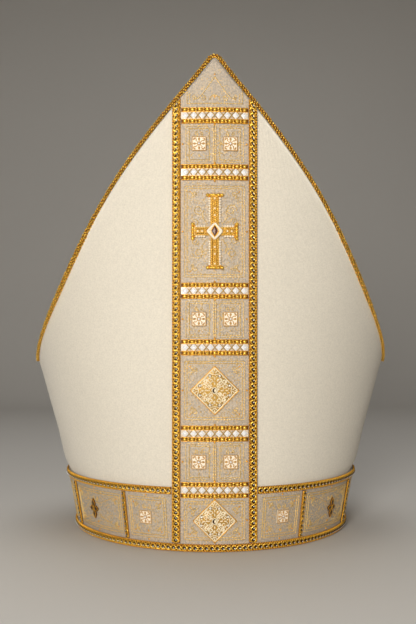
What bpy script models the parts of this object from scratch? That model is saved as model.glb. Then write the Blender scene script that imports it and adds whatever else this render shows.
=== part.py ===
"""Bishop mitre: two stiff horns of cream cloth with gold trims and jewelled embroidery.

Metres, +Z up. The front faces -Y and -X is the left side of the front view.
The origin is at the middle of the base, on the surface that the mitre stands on.
"""
import math

import bmesh
import bpy
from mathutils import Vector

# Overall form, measured on the outer face of the cloth
BASE_HALF_WIDTH = 0.0933
BASE_HALF_DEPTH = 0.1008
BAND_TOP_HALF_WIDTH = 0.1005
SHOULDER_HALF_WIDTH = 0.1246
SHOULDER_HEIGHT = 0.1150
PEAK_HEIGHT = 0.2970
PEAK_HALF_WIDTH = 0.0008
SHOULDER_FULLNESS = 1.20
HORN_FLATTENING = 0.30

# Cloth and clearances
PANEL_THICKNESS = 0.0025
STRIP_THICKNESS = 0.0010
GUSSET_THICKNESS = 0.0014
GAP = 0.0003

# Band round the base (circulus)
BAND_HEIGHT = 0.0390
BAND_BRAID_WIDTH = 0.0046
BASE_BRAID_WIDTH = 0.0050
DIVIDER_WIDTH = 0.0030
NEAR_DIVIDER_ANGLE = math.radians(33.8)
FAR_DIVIDER_ANGLE = math.radians(65.0)

# Upright column (titulus)
COLUMN_HALF_WIDTH = 0.0254
COLUMN_BRAID_WIDTH = 0.0052
COLUMN_EDGE_UNDER_BRAID = 0.0014
BRAID_HEIGHT = 0.0014
BRAID_EDGE_SHARE = 0.55

# Crystal bars
BAR_HEIGHT = 0.0096
RAIL_HEIGHT = 0.0026
BAR_RISE = 0.0016
BAR_PLATE = 0.0007
STONE_PITCH = 0.0050
STONE_RISE = 0.0018

# Ornaments
PLATE_RISE = 0.0009
CROSS_WIDTH = 0.0280
CROSS_ARM = 0.0050
CROSS_CAP_SPREAD = 0.0104
CROSS_CAP = 0.0019
CROSS_JEWEL_WIDTH = 0.0098
CROSS_JEWEL_HEIGHT = 0.0116
CROSS_STONE_WIDTH = 0.0032
CROSS_STONE_HEIGHT = 0.0068
CROSS_RISE = 0.0013
ROSETTE_SIZE = 0.0084
ROSETTE_SPACING = 0.0184
BAND_ROSETTE_SIZE = 0.0078
LOZENGE_ASPECT = 0.97
LOZENGE_RIM = 0.0016
LOZENGE_STONE = 0.0030
BAND_MOTIF_WAIST = 0.0020

# Edge cord
CORD_RADIUS = 0.0017

# Soft crown between the horns
GUSSET_DROP = 0.0045
GUSSET_SEAT = 0.0004
GUSSET_SHOULDER_SEAT = 0.0022
GUSSET_VALLEY_RISE = 0.0330
GUSSET_SIDE_CLEARANCE = 0.0030
GUSSET_FOLD_DEPTH = 0.0022
GUSSET_FOLDS = 5

# Facets
PANEL_COLUMNS = 16
PANEL_ROWS_BAND = 1
PANEL_ROWS_BODY = 4
PANEL_ROWS_HORN = 13
BAND_COLUMNS = 24
RING_SEGMENTS = 48
COLUMN_CELLS = 6
COLUMN_ROWS = 6
GUSSET_COLUMNS = 16
GUSSET_ROWS = 4

# Side profile from band to shoulder: share of the height between, share of the widening
SIDE_PROFILE = (
    # height, spread
    (0.00, 0.000),
    (0.09, 0.160),
    (0.36, 0.400),
    (0.66, 0.690),
    (1.00, 1.000),
)

# Edge of a horn: share of the rise from shoulder to peak, share of the shoulder half width
HORN_PROFILE = (
    # rise, width
    (0.00, 1.000),
    (0.06, 0.960),
    (0.12, 0.910),
    (0.24, 0.805),
    (0.36, 0.703),
    (0.48, 0.597),
    (0.60, 0.480),
    (0.72, 0.346),
    (0.84, 0.199),
    (0.93, 0.084),
    (1.00, 0.000),
)

# Arms of the band's motif, anticlockwise from the right: length, half width
BAND_MOTIF_ARMS = (
    # length, half width
    (0.0039, 0.0014),
    (0.0061, 0.0016),
    (0.0039, 0.0014),
    (0.0061, 0.0016),
)

# Fields of the column from the base up: what is worked on it, share of the free height,
# clearance between the ornament and the bars
COLUMN_FIELDS = (
    # kind, height share, clearance
    ("lozenge", 0.1335, 0.0004),
    ("rosettes", 0.1195, 0.0000),
    ("lozenge", 0.2065, 0.0062),
    ("rosettes", 0.1195, 0.0000),
    ("cross", 0.3015, 0.0081),
    ("rosettes", 0.1195, 0.0000),
)


def clear_scene():
    """Empty the scene of objects."""
    for old in list(bpy.data.objects):
        bpy.data.objects.remove(old, do_unlink=True)


def new_material(name, color, roughness, metallic=0.0):
    """A Principled material with one colour."""
    material = bpy.data.materials.new(name)
    material.use_nodes = True
    shader = material.node_tree.nodes["Principled BSDF"]
    shader.inputs["Base Color"].default_value = (*color, 1.0)
    shader.inputs["Roughness"].default_value = roughness
    shader.inputs["Metallic"].default_value = metallic
    return material


def mix(start, end, share):
    """Value a share of the way from start to end."""
    return start + (end - start) * share


def smooth_table(rows, position):
    """Value at a position in a two-column table, along a smooth curve through its rows."""
    last = len(rows) - 1
    i = 0
    while i < last - 1 and position > rows[i + 1][0]:
        i += 1
    x0, y0 = rows[i]
    x1, y1 = rows[i + 1]
    slopes = []
    for k in (i, i + 1):
        before = rows[max(k - 1, 0)]
        after = rows[min(k + 1, last)]
        slopes.append((after[1] - before[1]) / (after[0] - before[0]))
    step = x1 - x0
    t = min(max((position - x0) / step, 0.0), 1.0)
    hermite = (
        (2 * t**3 - 3 * t**2 + 1) * y0
        + (t**3 - 2 * t**2 + t) * step * slopes[0]
        + (-2 * t**3 + 3 * t**2) * y1
        + (t**3 - t**2) * step * slopes[1]
    )
    return hermite


def side_half_width(z):
    """Half width of the body at the side seam, up to the shoulder."""
    if z <= BAND_HEIGHT:
        return mix(BASE_HALF_WIDTH, BAND_TOP_HALF_WIDTH, z / BAND_HEIGHT)
    share = (z - BAND_HEIGHT) / (SHOULDER_HEIGHT - BAND_HEIGHT)
    return mix(BAND_TOP_HALF_WIDTH, SHOULDER_HALF_WIDTH, smooth_table(SIDE_PROFILE, share))


def section(z):
    """Semi-axes of the ellipse that the front's section follows at a height."""
    low = min(z, SHOULDER_HEIGHT)
    share = max(low - BAND_HEIGHT, 0.0) / (SHOULDER_HEIGHT - BAND_HEIGHT)
    fullness = 1.0 + (SHOULDER_FULLNESS - 1.0) * share
    across = side_half_width(low) / math.sqrt(1.0 - (1.0 - 1.0 / fullness) ** 2)
    along = BASE_HALF_DEPTH * fullness
    growth = HORN_FLATTENING * (z - low)
    return across + growth, along + growth


def on_form(angle, z, lift):
    """Point at an angle from the front's middle, lifted off the cloth's outer face."""
    across, along = section(z)
    outward_x = along * math.sin(angle)
    outward_y = -across * math.cos(angle)
    length = math.hypot(outward_x, outward_y)
    x = across * math.sin(angle) + lift * outward_x / length
    y = -BASE_HALF_DEPTH + along * (1.0 - math.cos(angle)) + lift * outward_y / length
    return Vector((x, y, z))


def angle_at(x, z):
    """Angle from the front's middle at which the outer face has the half width x."""
    return math.asin(min(x / section(z)[0], 1.0))


def horn_half_width(z):
    """Half width of a horn's edge above the shoulder."""
    share = (z - SHOULDER_HEIGHT) / (PEAK_HEIGHT - SHOULDER_HEIGHT)
    width = smooth_table(HORN_PROFILE, share)
    return PEAK_HALF_WIDTH + (SHOULDER_HALF_WIDTH - PEAK_HALF_WIDTH) * width


def horn_height(x):
    """Height of a horn's edge at the half width x."""
    low, high = SHOULDER_HEIGHT, PEAK_HEIGHT
    for _ in range(40):
        middle = 0.5 * (low + high)
        if horn_half_width(middle) > x:
            low = middle
        else:
            high = middle
    return low


def seam_angle(z):
    """Angle of the side seam, set back so that the two panels stay a gap apart."""
    across, along = section(z)
    meeting = math.acos(1.0 - BASE_HALF_DEPTH / along)
    outward = math.hypot(along * math.sin(meeting), across * math.cos(meeting))
    lean = across * math.cos(meeting) / outward
    set_back = 0.5 * GAP + PANEL_THICKNESS * lean
    return math.acos(1.0 - (BASE_HALF_DEPTH - set_back) / along)


def edge_angle(z):
    """Angle of the panel's edge: the side seam below, the horn's edge above."""
    seam = seam_angle(z)
    if z <= SHOULDER_HEIGHT:
        return seam
    return min(seam, angle_at(horn_half_width(z), z))


def new_object(name, mesh, material, collection):
    """Object for a mesh, smooth but for its sharp edges."""
    mesh.materials.clear()
    mesh.materials.append(material)
    mesh.shade_smooth()
    mesh.set_sharp_from_angle(angle=math.radians(35.0))
    made = bpy.data.objects.new(name, mesh)
    collection.objects.link(made)
    return made


def face_outwards(solid):
    """Turn a closed solid's faces outwards."""
    bmesh.ops.recalc_face_normals(solid, faces=solid.faces[:])
    if solid.calc_volume(signed=True) < 0.0:
        bmesh.ops.reverse_faces(solid, faces=solid.faces[:])


def slab(name, columns, rows, place):
    """Mesh of a flat slab bent to shape: place(u, v, w) is the point for its shares."""
    sheet = bmesh.new()
    bmesh.ops.create_grid(sheet, x_segments=columns, y_segments=rows, size=0.5)
    grown = bmesh.ops.extrude_face_region(sheet, geom=sheet.faces[:])
    top = [item for item in grown["geom"] if isinstance(item, bmesh.types.BMVert)]
    bmesh.ops.translate(sheet, verts=top, vec=(0.0, 0.0, 1.0))
    for vert in sheet.verts:
        vert.co = place(vert.co.x + 0.5, vert.co.y + 0.5, vert.co.z)
    face_outwards(sheet)
    mesh = bpy.data.meshes.new(name)
    sheet.to_mesh(mesh)
    sheet.free()
    return mesh


def stack(outline, levels, centre=(0.0, 0.0)):
    """Mesh of a flat outline raised through levels, each a share of the outline and a height."""
    solid = bmesh.new()
    bmesh.ops.create_circle(solid, cap_ends=True, segments=len(outline), radius=1.0)
    solid.verts.ensure_lookup_table()
    share, height = levels[0]
    for vert, (x, y) in zip(solid.verts, outline):
        vert.co = (centre[0] + x * share, centre[1] + y * share, height)
    for raised, (next_share, next_height) in enumerate(levels[1:]):
        solid.faces.ensure_lookup_table()
        top = max(solid.faces, key=lambda face: face.calc_center_median().z)
        grown = bmesh.ops.extrude_face_region(solid, geom=[top])
        verts = [item for item in grown["geom"] if isinstance(item, bmesh.types.BMVert)]
        for vert in verts:
            vert.co.x = centre[0] + (vert.co.x - centre[0]) * next_share / share
            vert.co.y = centre[1] + (vert.co.y - centre[1]) * next_share / share
            vert.co.z = next_height
        if raised:
            bmesh.ops.delete(solid, geom=[top], context="FACES_ONLY")
        share = next_share
    face_outwards(solid)
    mesh = bpy.data.meshes.new("stack")
    solid.to_mesh(mesh)
    solid.free()
    return mesh


def ring_of(sides, half_width, half_height, turn=0.0, inner=1.0):
    """Outline points round an ellipse, every second one drawn in to a share."""
    points = []
    for i in range(sides):
        angle = turn + 2.0 * math.pi * i / sides
        reach = inner if i % 2 else 1.0
        points.append((half_width * reach * math.cos(angle), half_height * reach * math.sin(angle)))
    return points


def rectangle(half_width, half_height):
    """Outline of a rectangle."""
    return [
        (half_width, half_height),
        (-half_width, half_height),
        (-half_width, -half_height),
        (half_width, -half_height),
    ]


def block(x0, x1, y0, y1, bottom, top):
    """Mesh of a box in the flat."""
    centre = (0.5 * (x0 + x1), 0.5 * (y0 + y1))
    outline = rectangle(0.5 * (x1 - x0), 0.5 * (y1 - y0))
    return stack(outline, ((1.0, bottom), (1.0, top)), centre)


def fuse(meshes, operations=None):
    """One closed mesh from overlapping ones: united, or cut where the operation says so."""
    made = [bpy.data.objects.new("flat_piece", mesh) for mesh in meshes]
    for piece in made:
        bpy.context.scene.collection.objects.link(piece)
    for i, piece in enumerate(made[1:]):
        joint = made[0].modifiers.new("fuse", "BOOLEAN")
        joint.operation = operations[i] if operations else "UNION"
        joint.object = piece
    bpy.context.view_layer.update()
    graph = bpy.context.evaluated_depsgraph_get()
    result = bpy.data.meshes.new_from_object(made[0].evaluated_get(graph))
    for piece in made:
        bpy.data.objects.remove(piece, do_unlink=True)
    return result


def drape(name, flat, cuts, place):
    """Bend a flat ornament onto the form after cutting it along upright lines."""
    sheet = bmesh.new()
    sheet.from_mesh(flat)
    bmesh.ops.remove_doubles(sheet, verts=sheet.verts[:], dist=1e-6)
    for x in cuts:
        bmesh.ops.bisect_plane(
            sheet,
            geom=sheet.verts[:] + sheet.edges[:] + sheet.faces[:],
            plane_co=(x, 0.0, 0.0),
            plane_no=(1.0, 0.0, 0.0),
        )
    bmesh.ops.triangulate(sheet, faces=sheet.faces[:])
    for vert in sheet.verts:
        vert.co = place(vert.co.x, vert.co.y, vert.co.z)
    face_outwards(sheet)
    mesh = bpy.data.meshes.new(name)
    sheet.to_mesh(mesh)
    sheet.free()
    return mesh


def strip_lift():
    """Lift of the outer face of the lamé strips."""
    return GAP + STRIP_THICKNESS


def on_column(x0, z0):
    """Placing function for an ornament on the column, with its middle at x0, z0."""

    def place(x, y, lift):
        z = z0 + y
        return on_form(angle_at(x0 + x, z), z, strip_lift() + GAP + lift)

    return place


def on_band(angle, z0):
    """Placing function for an ornament on the band, with its middle at an angle."""

    def place(x, y, lift):
        across, along = section(z0)
        metre_per_turn = math.hypot(across * math.cos(angle), along * math.sin(angle))
        return on_form(angle + x / metre_per_turn, z0 + y, strip_lift() + GAP + lift)

    return place


def braid_lift(across, w):
    """Lift inside a domed braid: across runs 0 to 1 over its width, w from foot to top."""
    dome = mix(BRAID_EDGE_SHARE, 1.0, math.sin(math.pi * across))
    return strip_lift() + GAP + w * BRAID_HEIGHT * dome


def horn_heights():
    """Heights of a horn's rows of facets, closest together near the shoulder."""
    shares = [(i / PANEL_ROWS_HORN) ** 1.35 for i in range(PANEL_ROWS_HORN + 1)]
    return [mix(SHOULDER_HEIGHT, PEAK_HEIGHT, share) for share in shares]


def build_panel(material, collection):
    """Front panel: a curved sheet from the base rim to the horn's edge."""
    heights = [BAND_HEIGHT * i / PANEL_ROWS_BAND for i in range(PANEL_ROWS_BAND)]
    for i in range(PANEL_ROWS_BODY):
        heights.append(mix(BAND_HEIGHT, SHOULDER_HEIGHT, i / PANEL_ROWS_BODY))
    heights += horn_heights()
    rows = len(heights) - 1

    def place(u, v, w):
        z = heights[round(v * rows)]
        angle = mix(-1.0, 1.0, u) * edge_angle(z)
        return on_form(angle, z, (w - 1.0) * PANEL_THICKNESS)

    mesh = slab("front_panel", PANEL_COLUMNS, rows, place)
    return new_object("front_panel", mesh, material, collection)


def build_gusset(material, collection):
    """Front wing of the soft cloth between the horns, falling to a valley in shallow folds."""
    lowest = SHOULDER_HEIGHT + 2.0 * GUSSET_DROP
    highest = PEAK_HEIGHT - GUSSET_DROP

    def rim(t):
        """Point of the front wing's edge, on the inner face just below the horn's edge."""
        z = mix(highest, lowest, abs(t) ** 1.12)
        seat = z - GUSSET_DROP
        angle = angle_at(horn_half_width(z), seat)
        clear = mix(GUSSET_SEAT, GUSSET_SHOULDER_SEAT, abs(t) ** 3)
        inward = PANEL_THICKNESS + clear + 0.5 * GUSSET_THICKNESS
        return on_form(math.copysign(angle, t), seat, -inward)

    end = rim(1.0)
    valley_end = SHOULDER_HALF_WIDTH - PANEL_THICKNESS - GUSSET_SIDE_CLEARANCE

    def sheet(t, s):
        edge = rim(t)
        side = abs(s)
        valley_z = end.z - GUSSET_DROP + GUSSET_VALLEY_RISE * (1.0 - t * t)
        fold = GUSSET_FOLD_DEPTH * math.sin(math.pi * side) * math.cos(GUSSET_FOLDS * math.pi * t)
        return Vector((
            mix(t * valley_end, edge.x, side),
            mix(0.5 * GAP, -edge.y, side) * (-1.0 if s < 0.0 else 1.0),
            mix(valley_z, edge.z, side**1.3) + fold * (1.0 - abs(t)),
        ))

    def place(u, v, w):
        t, s = mix(-1.0, 1.0, u), mix(-1.0, -1e-6, v)
        step = 0.01
        along = sheet(min(t + step, 1.0), s) - sheet(max(t - step, -1.0), s)
        over = sheet(t, min(s + step, 1.0)) - sheet(t, max(s - step, -1.0))
        normal = along.cross(over).normalized()
        return sheet(t, s) + normal * (w - 0.5) * GUSSET_THICKNESS

    mesh = slab("crown_gusset_front", GUSSET_COLUMNS, GUSSET_ROWS, place)
    return new_object("crown_gusset_front", mesh, material, collection)


def column_edge():
    """Half width of the lamé column under its braids."""
    return COLUMN_HALF_WIDTH - COLUMN_EDGE_UNDER_BRAID


def build_circulus(name, side, material, collection):
    """One side of the band's lamé, from the front column round to the back one."""

    def place(u, v, w):
        z = mix(GAP, BAND_HEIGHT - GAP, v)
        start = angle_at(column_edge() + GAP, z)
        angle = side * mix(start, math.pi - start, u)
        return on_form(angle, z, GAP + w * STRIP_THICKNESS)

    mesh = slab(name, BAND_COLUMNS, 1, place)
    return new_object(name, mesh, material, collection)


def build_band_braid(name, side, material, collection):
    """Braid on the band's upper edge, between the columns' braids."""

    def place(u, v, w):
        z = mix(BAND_HEIGHT - BAND_BRAID_WIDTH, BAND_HEIGHT, v)
        start = angle_at(COLUMN_HALF_WIDTH + GAP, z)
        angle = side * mix(start, math.pi - start, u)
        return on_form(angle, z, braid_lift(v, w))

    mesh = slab(name, BAND_COLUMNS, 2, place)
    return new_object(name, mesh, material, collection)


def build_base_braid(material, collection):
    """Braid round the base, one closed ring with a domed outer face."""
    inner = strip_lift() + GAP
    profile = (
        # lift, height share
        (inner, 0.0),
        (inner + BRAID_EDGE_SHARE * BRAID_HEIGHT, 0.0),
        (inner + BRAID_HEIGHT, 0.5),
        (inner + BRAID_EDGE_SHARE * BRAID_HEIGHT, 1.0),
        (inner, 1.0),
    )
    ring = bmesh.new()
    loops = []
    for i in range(RING_SEGMENTS):
        angle = 2.0 * math.pi * i / RING_SEGMENTS
        points = [on_form(angle, mix(GAP, BASE_BRAID_WIDTH, high), lift) for lift, high in profile]
        loops.append([ring.verts.new(point) for point in points])
    for i, loop in enumerate(loops):
        after = loops[(i + 1) % RING_SEGMENTS]
        for k in range(len(profile)):
            m = (k + 1) % len(profile)
            ring.faces.new((loop[k], after[k], after[m], loop[m]))
    face_outwards(ring)
    mesh = bpy.data.meshes.new("circulus_bottom_braid")
    ring.to_mesh(mesh)
    ring.free()
    return new_object("circulus_bottom_braid", mesh, material, collection)


def column_top(x):
    """Height at which the column ends under the horn's edge, at the half width x."""
    return horn_height(abs(x) + 2.0 * GAP) - GAP


def build_column(material, collection):
    """Lamé column up the middle of the front, pointed under the peak."""
    rows = COLUMN_ROWS + COLUMN_CELLS // 2
    edge = column_edge()

    def place(u, v, w):
        row = round(v * rows)
        x = mix(-edge, edge, u)
        straight = column_top(edge)
        if row <= COLUMN_ROWS:
            z = mix(GAP, straight, row / COLUMN_ROWS)
        else:
            share = (row - COLUMN_ROWS) / (rows - COLUMN_ROWS)
            z = mix(straight, column_top(x), share)
        return on_form(angle_at(x, z), z, GAP + w * STRIP_THICKNESS)

    mesh = slab("titulus_front", COLUMN_CELLS, rows, place)
    return new_object("titulus_front", mesh, material, collection)


def build_column_braid(name, side, material, collection):
    """Braid up one edge of the front column, cut slanting under the horn's edge."""

    def place(u, v, w):
        x = mix(COLUMN_HALF_WIDTH - COLUMN_BRAID_WIDTH, COLUMN_HALF_WIDTH, u)
        z = mix(BASE_BRAID_WIDTH + GAP, column_top(x), v)
        return on_form(side * angle_at(x, z), z, braid_lift(u, w))

    mesh = slab(name, 2, COLUMN_ROWS + 2, place)
    return new_object(name, mesh, material, collection)


def build_divider(name, angle, material, collection):
    """Short upright braid across the band's lamé."""

    def place(u, v, w):
        z = mix(BASE_BRAID_WIDTH + GAP, BAND_HEIGHT - BAND_BRAID_WIDTH - GAP, v)
        across, along = section(z)
        metre_per_turn = math.hypot(across * math.cos(angle), along * math.sin(angle))
        turned = angle + mix(-0.5, 0.5, u) * DIVIDER_WIDTH / metre_per_turn
        return on_form(turned, z, braid_lift(u, w))

    mesh = slab(name, 2, 2, place)
    return new_object(name, mesh, material, collection)


def column_inner():
    """Half width of the column between its braids."""
    return COLUMN_HALF_WIDTH - COLUMN_BRAID_WIDTH


def column_layout():
    """Middle heights and sizes of the column's fields and bars, from the base up."""
    bottom = BASE_BRAID_WIDTH + GAP
    top = column_top(COLUMN_HALF_WIDTH)
    free = top - bottom - len(COLUMN_FIELDS) * BAR_HEIGHT
    shares = sum(share for _, share, _ in COLUMN_FIELDS)
    fields, bars = [], []
    z = bottom
    for kind, share, clearance in COLUMN_FIELDS:
        height = free * share / shares
        fields.append((kind, z + 0.5 * height, height, clearance))
        z += height
        bars.append(z + 0.5 * BAR_HEIGHT)
        z += BAR_HEIGHT
    return fields, bars


def build_bar(name, z, material, collection):
    """Crystal bar: a channel between two rails with a row of square step-cut stones."""
    half = column_inner() - GAP
    channel = 0.5 * BAR_HEIGHT - RAIL_HEIGHT
    body = block(-half, half, -0.5 * BAR_HEIGHT, 0.5 * BAR_HEIGHT, 0.0, BAR_RISE)
    groove = block(-2.0 * half, 2.0 * half, -channel, channel, BAR_PLATE, 2.0 * BAR_RISE)
    count = int(2.0 * half / STONE_PITCH + 0.25)
    pitch = 2.0 * half / count
    reach = min(0.5 * pitch, channel) - GAP
    levels = ((1.0, 0.5 * BAR_PLATE), (0.92, mix(BAR_PLATE, STONE_RISE, 0.6)), (0.5, STONE_RISE))
    stones = []
    for i in range(count):
        centre = (pitch * (i + 0.5) - half, 0.0)
        stones.append(stack(ring_of(4, reach, reach), levels, centre))
    flat = fuse([body, groove] + stones, ["DIFFERENCE"] + ["UNION"] * count)
    cuts = [pitch * i - half for i in range(3, count, 3)]
    mesh = drape(name, flat, cuts, on_column(0.0, z))
    return new_object(name, mesh, material, collection)


def build_cross(name, z, height, material, collection):
    """Cross with capped ends, a lozenge setting in its middle and a step-cut stone."""
    arm = 0.5 * CROSS_ARM
    tall, wide = 0.5 * height, 0.5 * CROSS_WIDTH
    cap = 0.5 * CROSS_CAP_SPREAD
    low = 0.5 * PLATE_RISE
    pieces = [
        block(-arm, arm, -tall + 0.5 * CROSS_CAP, tall - 0.5 * CROSS_CAP, 0.0, CROSS_RISE),
        block(-wide + 0.5 * CROSS_CAP, wide - 0.5 * CROSS_CAP, -arm, arm, 0.0, CROSS_RISE),
    ]
    for side in (-1.0, 1.0):
        for across, up in ((0.0, side * (tall - 0.5 * CROSS_CAP)), (side * (wide - 0.5 * CROSS_CAP), 0.0)):
            outline = rectangle(0.5 * CROSS_CAP, cap) if across else rectangle(cap, 0.5 * CROSS_CAP)
            pieces.append(stack(outline, ((1.0, 0.0), (1.0, CROSS_RISE)), (across, up)))
    setting = ring_of(4, 0.5 * CROSS_JEWEL_WIDTH, 0.5 * CROSS_JEWEL_HEIGHT)
    pieces.append(stack(setting, ((1.0, low), (0.8, CROSS_RISE + low))))
    stone = ring_of(4, 0.5 * CROSS_STONE_WIDTH, 0.5 * CROSS_STONE_HEIGHT)
    top = CROSS_RISE + PLATE_RISE
    pieces.append(stack(stone, ((1.0, CROSS_RISE), (0.9, top), (0.5, top + low))))
    flat = fuse(pieces)
    mesh = drape(name, flat, (-0.5 * wide, 0.5 * wide), on_column(0.0, z))
    return new_object(name, mesh, material, collection)


def rosette_flat(size):
    """Square plate with an eight-petal flower."""
    half = 0.5 * size
    plate = stack(rectangle(half, half), ((1.0, 0.0), (1.0, 0.6 * PLATE_RISE), (0.9, PLATE_RISE)))
    petals = ring_of(16, 0.72 * half, 0.72 * half, 0.0, 0.55)
    flower = stack(petals, ((1.0, 0.5 * PLATE_RISE), (0.7, 1.5 * PLATE_RISE)))
    return fuse([plate, flower])


def build_rosette(name, flat, place, material, collection):
    """Rosette bent onto its place."""
    return new_object(name, drape(name, flat, (), place), material, collection)


def build_lozenge(name, z, height, material, collection):
    """Lozenge plate with a raised rim, a flower and a cut stone in its middle."""
    tall, wide = 0.5 * height, 0.5 * height * LOZENGE_ASPECT
    plate = stack(ring_of(4, wide, tall), ((1.0, 0.0), (1.0, PLATE_RISE)))
    inner = 1.0 - 1.5 * LOZENGE_RIM / wide
    rim = stack(ring_of(4, wide, tall), ((0.99, 0.5 * PLATE_RISE), (0.97, 1.5 * PLATE_RISE)))
    hollow = stack(ring_of(4, wide, tall), ((inner, PLATE_RISE), (inner, 3.0 * PLATE_RISE)))
    flower = stack(ring_of(16, 0.5 * wide, 0.5 * tall, 0.0, 0.5),
                   ((1.0, 0.5 * PLATE_RISE), (0.7, 1.6 * PLATE_RISE)))
    stone = stack(ring_of(8, 0.5 * LOZENGE_STONE, 0.6 * LOZENGE_STONE),
                  ((1.0, PLATE_RISE), (0.6, 2.6 * PLATE_RISE)))
    pieces = [plate, rim, hollow, flower, stone]
    operations = ["UNION", "DIFFERENCE"] + ["UNION"] * (len(pieces) - 3)
    flat = fuse(pieces, operations)
    mesh = drape(name, flat, (-0.5 * wide, 0.0, 0.5 * wide), on_column(0.0, z))
    return new_object(name, mesh, material, collection)


def build_band_motif(name, angle, z, material, collection):
    """Four small lozenges that meet in the middle, in one plate."""
    outline = []
    for i, (length, half) in enumerate(BAND_MOTIF_ARMS):
        turn = 0.5 * math.pi * i
        ahead = Vector((math.cos(turn), math.sin(turn)))
        aside = Vector((-ahead.y, ahead.x))
        for along, across in ((0.5, -1.0), (1.0, 0.0), (0.5, 1.0)):
            outline.append(ahead * length * along + aside * half * across)
        outline.append((ahead + aside) * 0.35 * BAND_MOTIF_WAIST)
    flat = stack(outline, ((1.0, 0.0), (1.0, 0.6 * PLATE_RISE), (0.8, 1.3 * PLATE_RISE)))
    mesh = drape(name, flat, (), on_band(angle, z))
    return new_object(name, mesh, material, collection)


def cord_path():
    """Points of the front cord's middle line, from one shoulder over the peak to the other."""
    heights = horn_heights()
    rims = [on_form(edge_angle(z), z, -0.5 * PANEL_THICKNESS) for z in heights]
    side = []
    for i, z in enumerate(heights):
        run = rims[min(i + 1, len(rims) - 1)] - rims[max(i - 1, 0)]
        across = on_form(edge_angle(z), z, 0.0) - rims[i]
        off = across.cross(run).normalized()
        side.append(rims[i] + math.copysign(CORD_RADIUS + GAP, off.z) * off)
    while side[1].y > -CORD_RADIUS:
        side.pop(0)
    start = (-CORD_RADIUS - side[0].y) / (side[1].y - side[0].y)
    side[0] = side[0].lerp(side[1], max(start, 0.0))
    last = side[-1]
    tip = Vector((0.0, last.y, last.z + 0.4 * last.x))
    left = [Vector((-point.x, point.y, point.z)) for point in side]
    return left + [tip] + side[::-1]


def build_cord(name, material, collection):
    """Twisted cord along the front horn's edge, a round tube with closed ends."""
    line = bpy.data.curves.new(name, "CURVE")
    line.dimensions = "3D"
    line.bevel_depth = CORD_RADIUS
    line.bevel_resolution = 2
    line.use_fill_caps = True
    points = cord_path()
    spline = line.splines.new("POLY")
    spline.points.add(len(points) - 1)
    for point, target in zip(spline.points, points):
        point.co = (*target, 1.0)
    line.materials.append(material)
    made = bpy.data.objects.new(name, line)
    collection.objects.link(made)
    return made


def turned_copy(front, name, collection):
    """Copy of a front piece, turned half round to the back."""
    back = front.copy()
    back.name = name
    back.rotation_euler = (0.0, 0.0, math.pi)
    collection.objects.link(back)
    return back


def main():
    """Build every piece of the mitre."""
    clear_scene()
    collection = bpy.data.collections.new("bishop_mitre")
    bpy.context.scene.collection.children.link(collection)

    cream = new_material("cream_cloth", (0.80, 0.73, 0.60), 0.85)
    lining = new_material("crown_cloth", (0.76, 0.69, 0.56), 0.85)
    lame = new_material("lame_cloth", (0.62, 0.50, 0.35), 0.45, 0.4)
    braid = new_material("gold_braid", (0.60, 0.34, 0.06), 0.35, 0.9)
    cord = new_material("gold_cord", (0.60, 0.34, 0.06), 0.35, 0.9)
    crystal = new_material("crystal_bar", (0.80, 0.72, 0.58), 0.12, 0.3)
    cross = new_material("gold_cross", (0.64, 0.38, 0.08), 0.30, 0.9)
    rosette = new_material("rosette", (0.82, 0.70, 0.48), 0.45, 0.3)
    lozenge = new_material("lozenge", (0.78, 0.58, 0.32), 0.40, 0.5)
    motif = new_material("dark_gold", (0.35, 0.20, 0.05), 0.40, 0.8)

    fronts = [build_panel(cream, collection), build_cord("edge_cord_front", cord, collection)]
    wing = build_gusset(lining, collection)
    turned_copy(wing, "crown_gusset_back", collection)
    fronts.append(build_column(lame, collection))
    for word, side in (("left", -1.0), ("right", 1.0)):
        build_circulus(f"circulus_{word}", side, lame, collection)
        build_band_braid(f"circulus_top_braid_{word}", side, braid, collection)
        fronts.append(build_column_braid(f"titulus_braid_front_{word}", side, braid, collection))
        for place, angle in (("near", NEAR_DIVIDER_ANGLE), ("far", FAR_DIVIDER_ANGLE)):
            turned = math.pi - angle
            build_divider(f"divider_front_{word}_{place}", side * angle, braid, collection)
            build_divider(f"divider_back_{word}_{place}", side * turned, braid, collection)
    build_base_braid(braid, collection)

    fields, bars = column_layout()
    for i, z in enumerate(bars):
        fronts.append(build_bar(f"crystal_bar_front_{i + 1}", z, crystal, collection))

    counts = {"lozenge": 0, "rosettes": 0}
    column_rosette = rosette_flat(ROSETTE_SIZE)
    for kind, z, height, clearance in fields:
        if kind == "cross":
            made = build_cross("cross_front", z, height - 2.0 * clearance, cross, collection)
            fronts.append(made)
        elif kind == "lozenge":
            counts[kind] += 1
            name = f"lozenge_front_{counts[kind]}"
            fronts.append(build_lozenge(name, z, height - 2.0 * clearance, lozenge, collection))
        else:
            for side in (-0.5, 0.5):
                counts[kind] += 1
                name = f"rosette_front_{counts[kind]}"
                place = on_column(side * ROSETTE_SPACING, z)
                fronts.append(build_rosette(name, column_rosette, place, rosette, collection))

    for front in fronts:
        turned_copy(front, front.name.replace("front", "back"), collection)

    middle = 0.5 * (BASE_BRAID_WIDTH + BAND_HEIGHT - BAND_BRAID_WIDTH)
    column_side = angle_at(COLUMN_HALF_WIDTH, middle)
    near = 0.5 * (column_side + NEAR_DIVIDER_ANGLE)
    far = 0.5 * (NEAR_DIVIDER_ANGLE + FAR_DIVIDER_ANGLE)
    band_rosette = rosette_flat(BAND_ROSETTE_SIZE)
    for word, side in (("left", -1.0), ("right", 1.0)):
        place = on_band(side * near, middle)
        build_rosette(f"band_rosette_{word}", band_rosette, place, rosette, collection)
        build_band_motif(f"band_motif_{word}", side * far, middle, motif, collection)


main()
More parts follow.
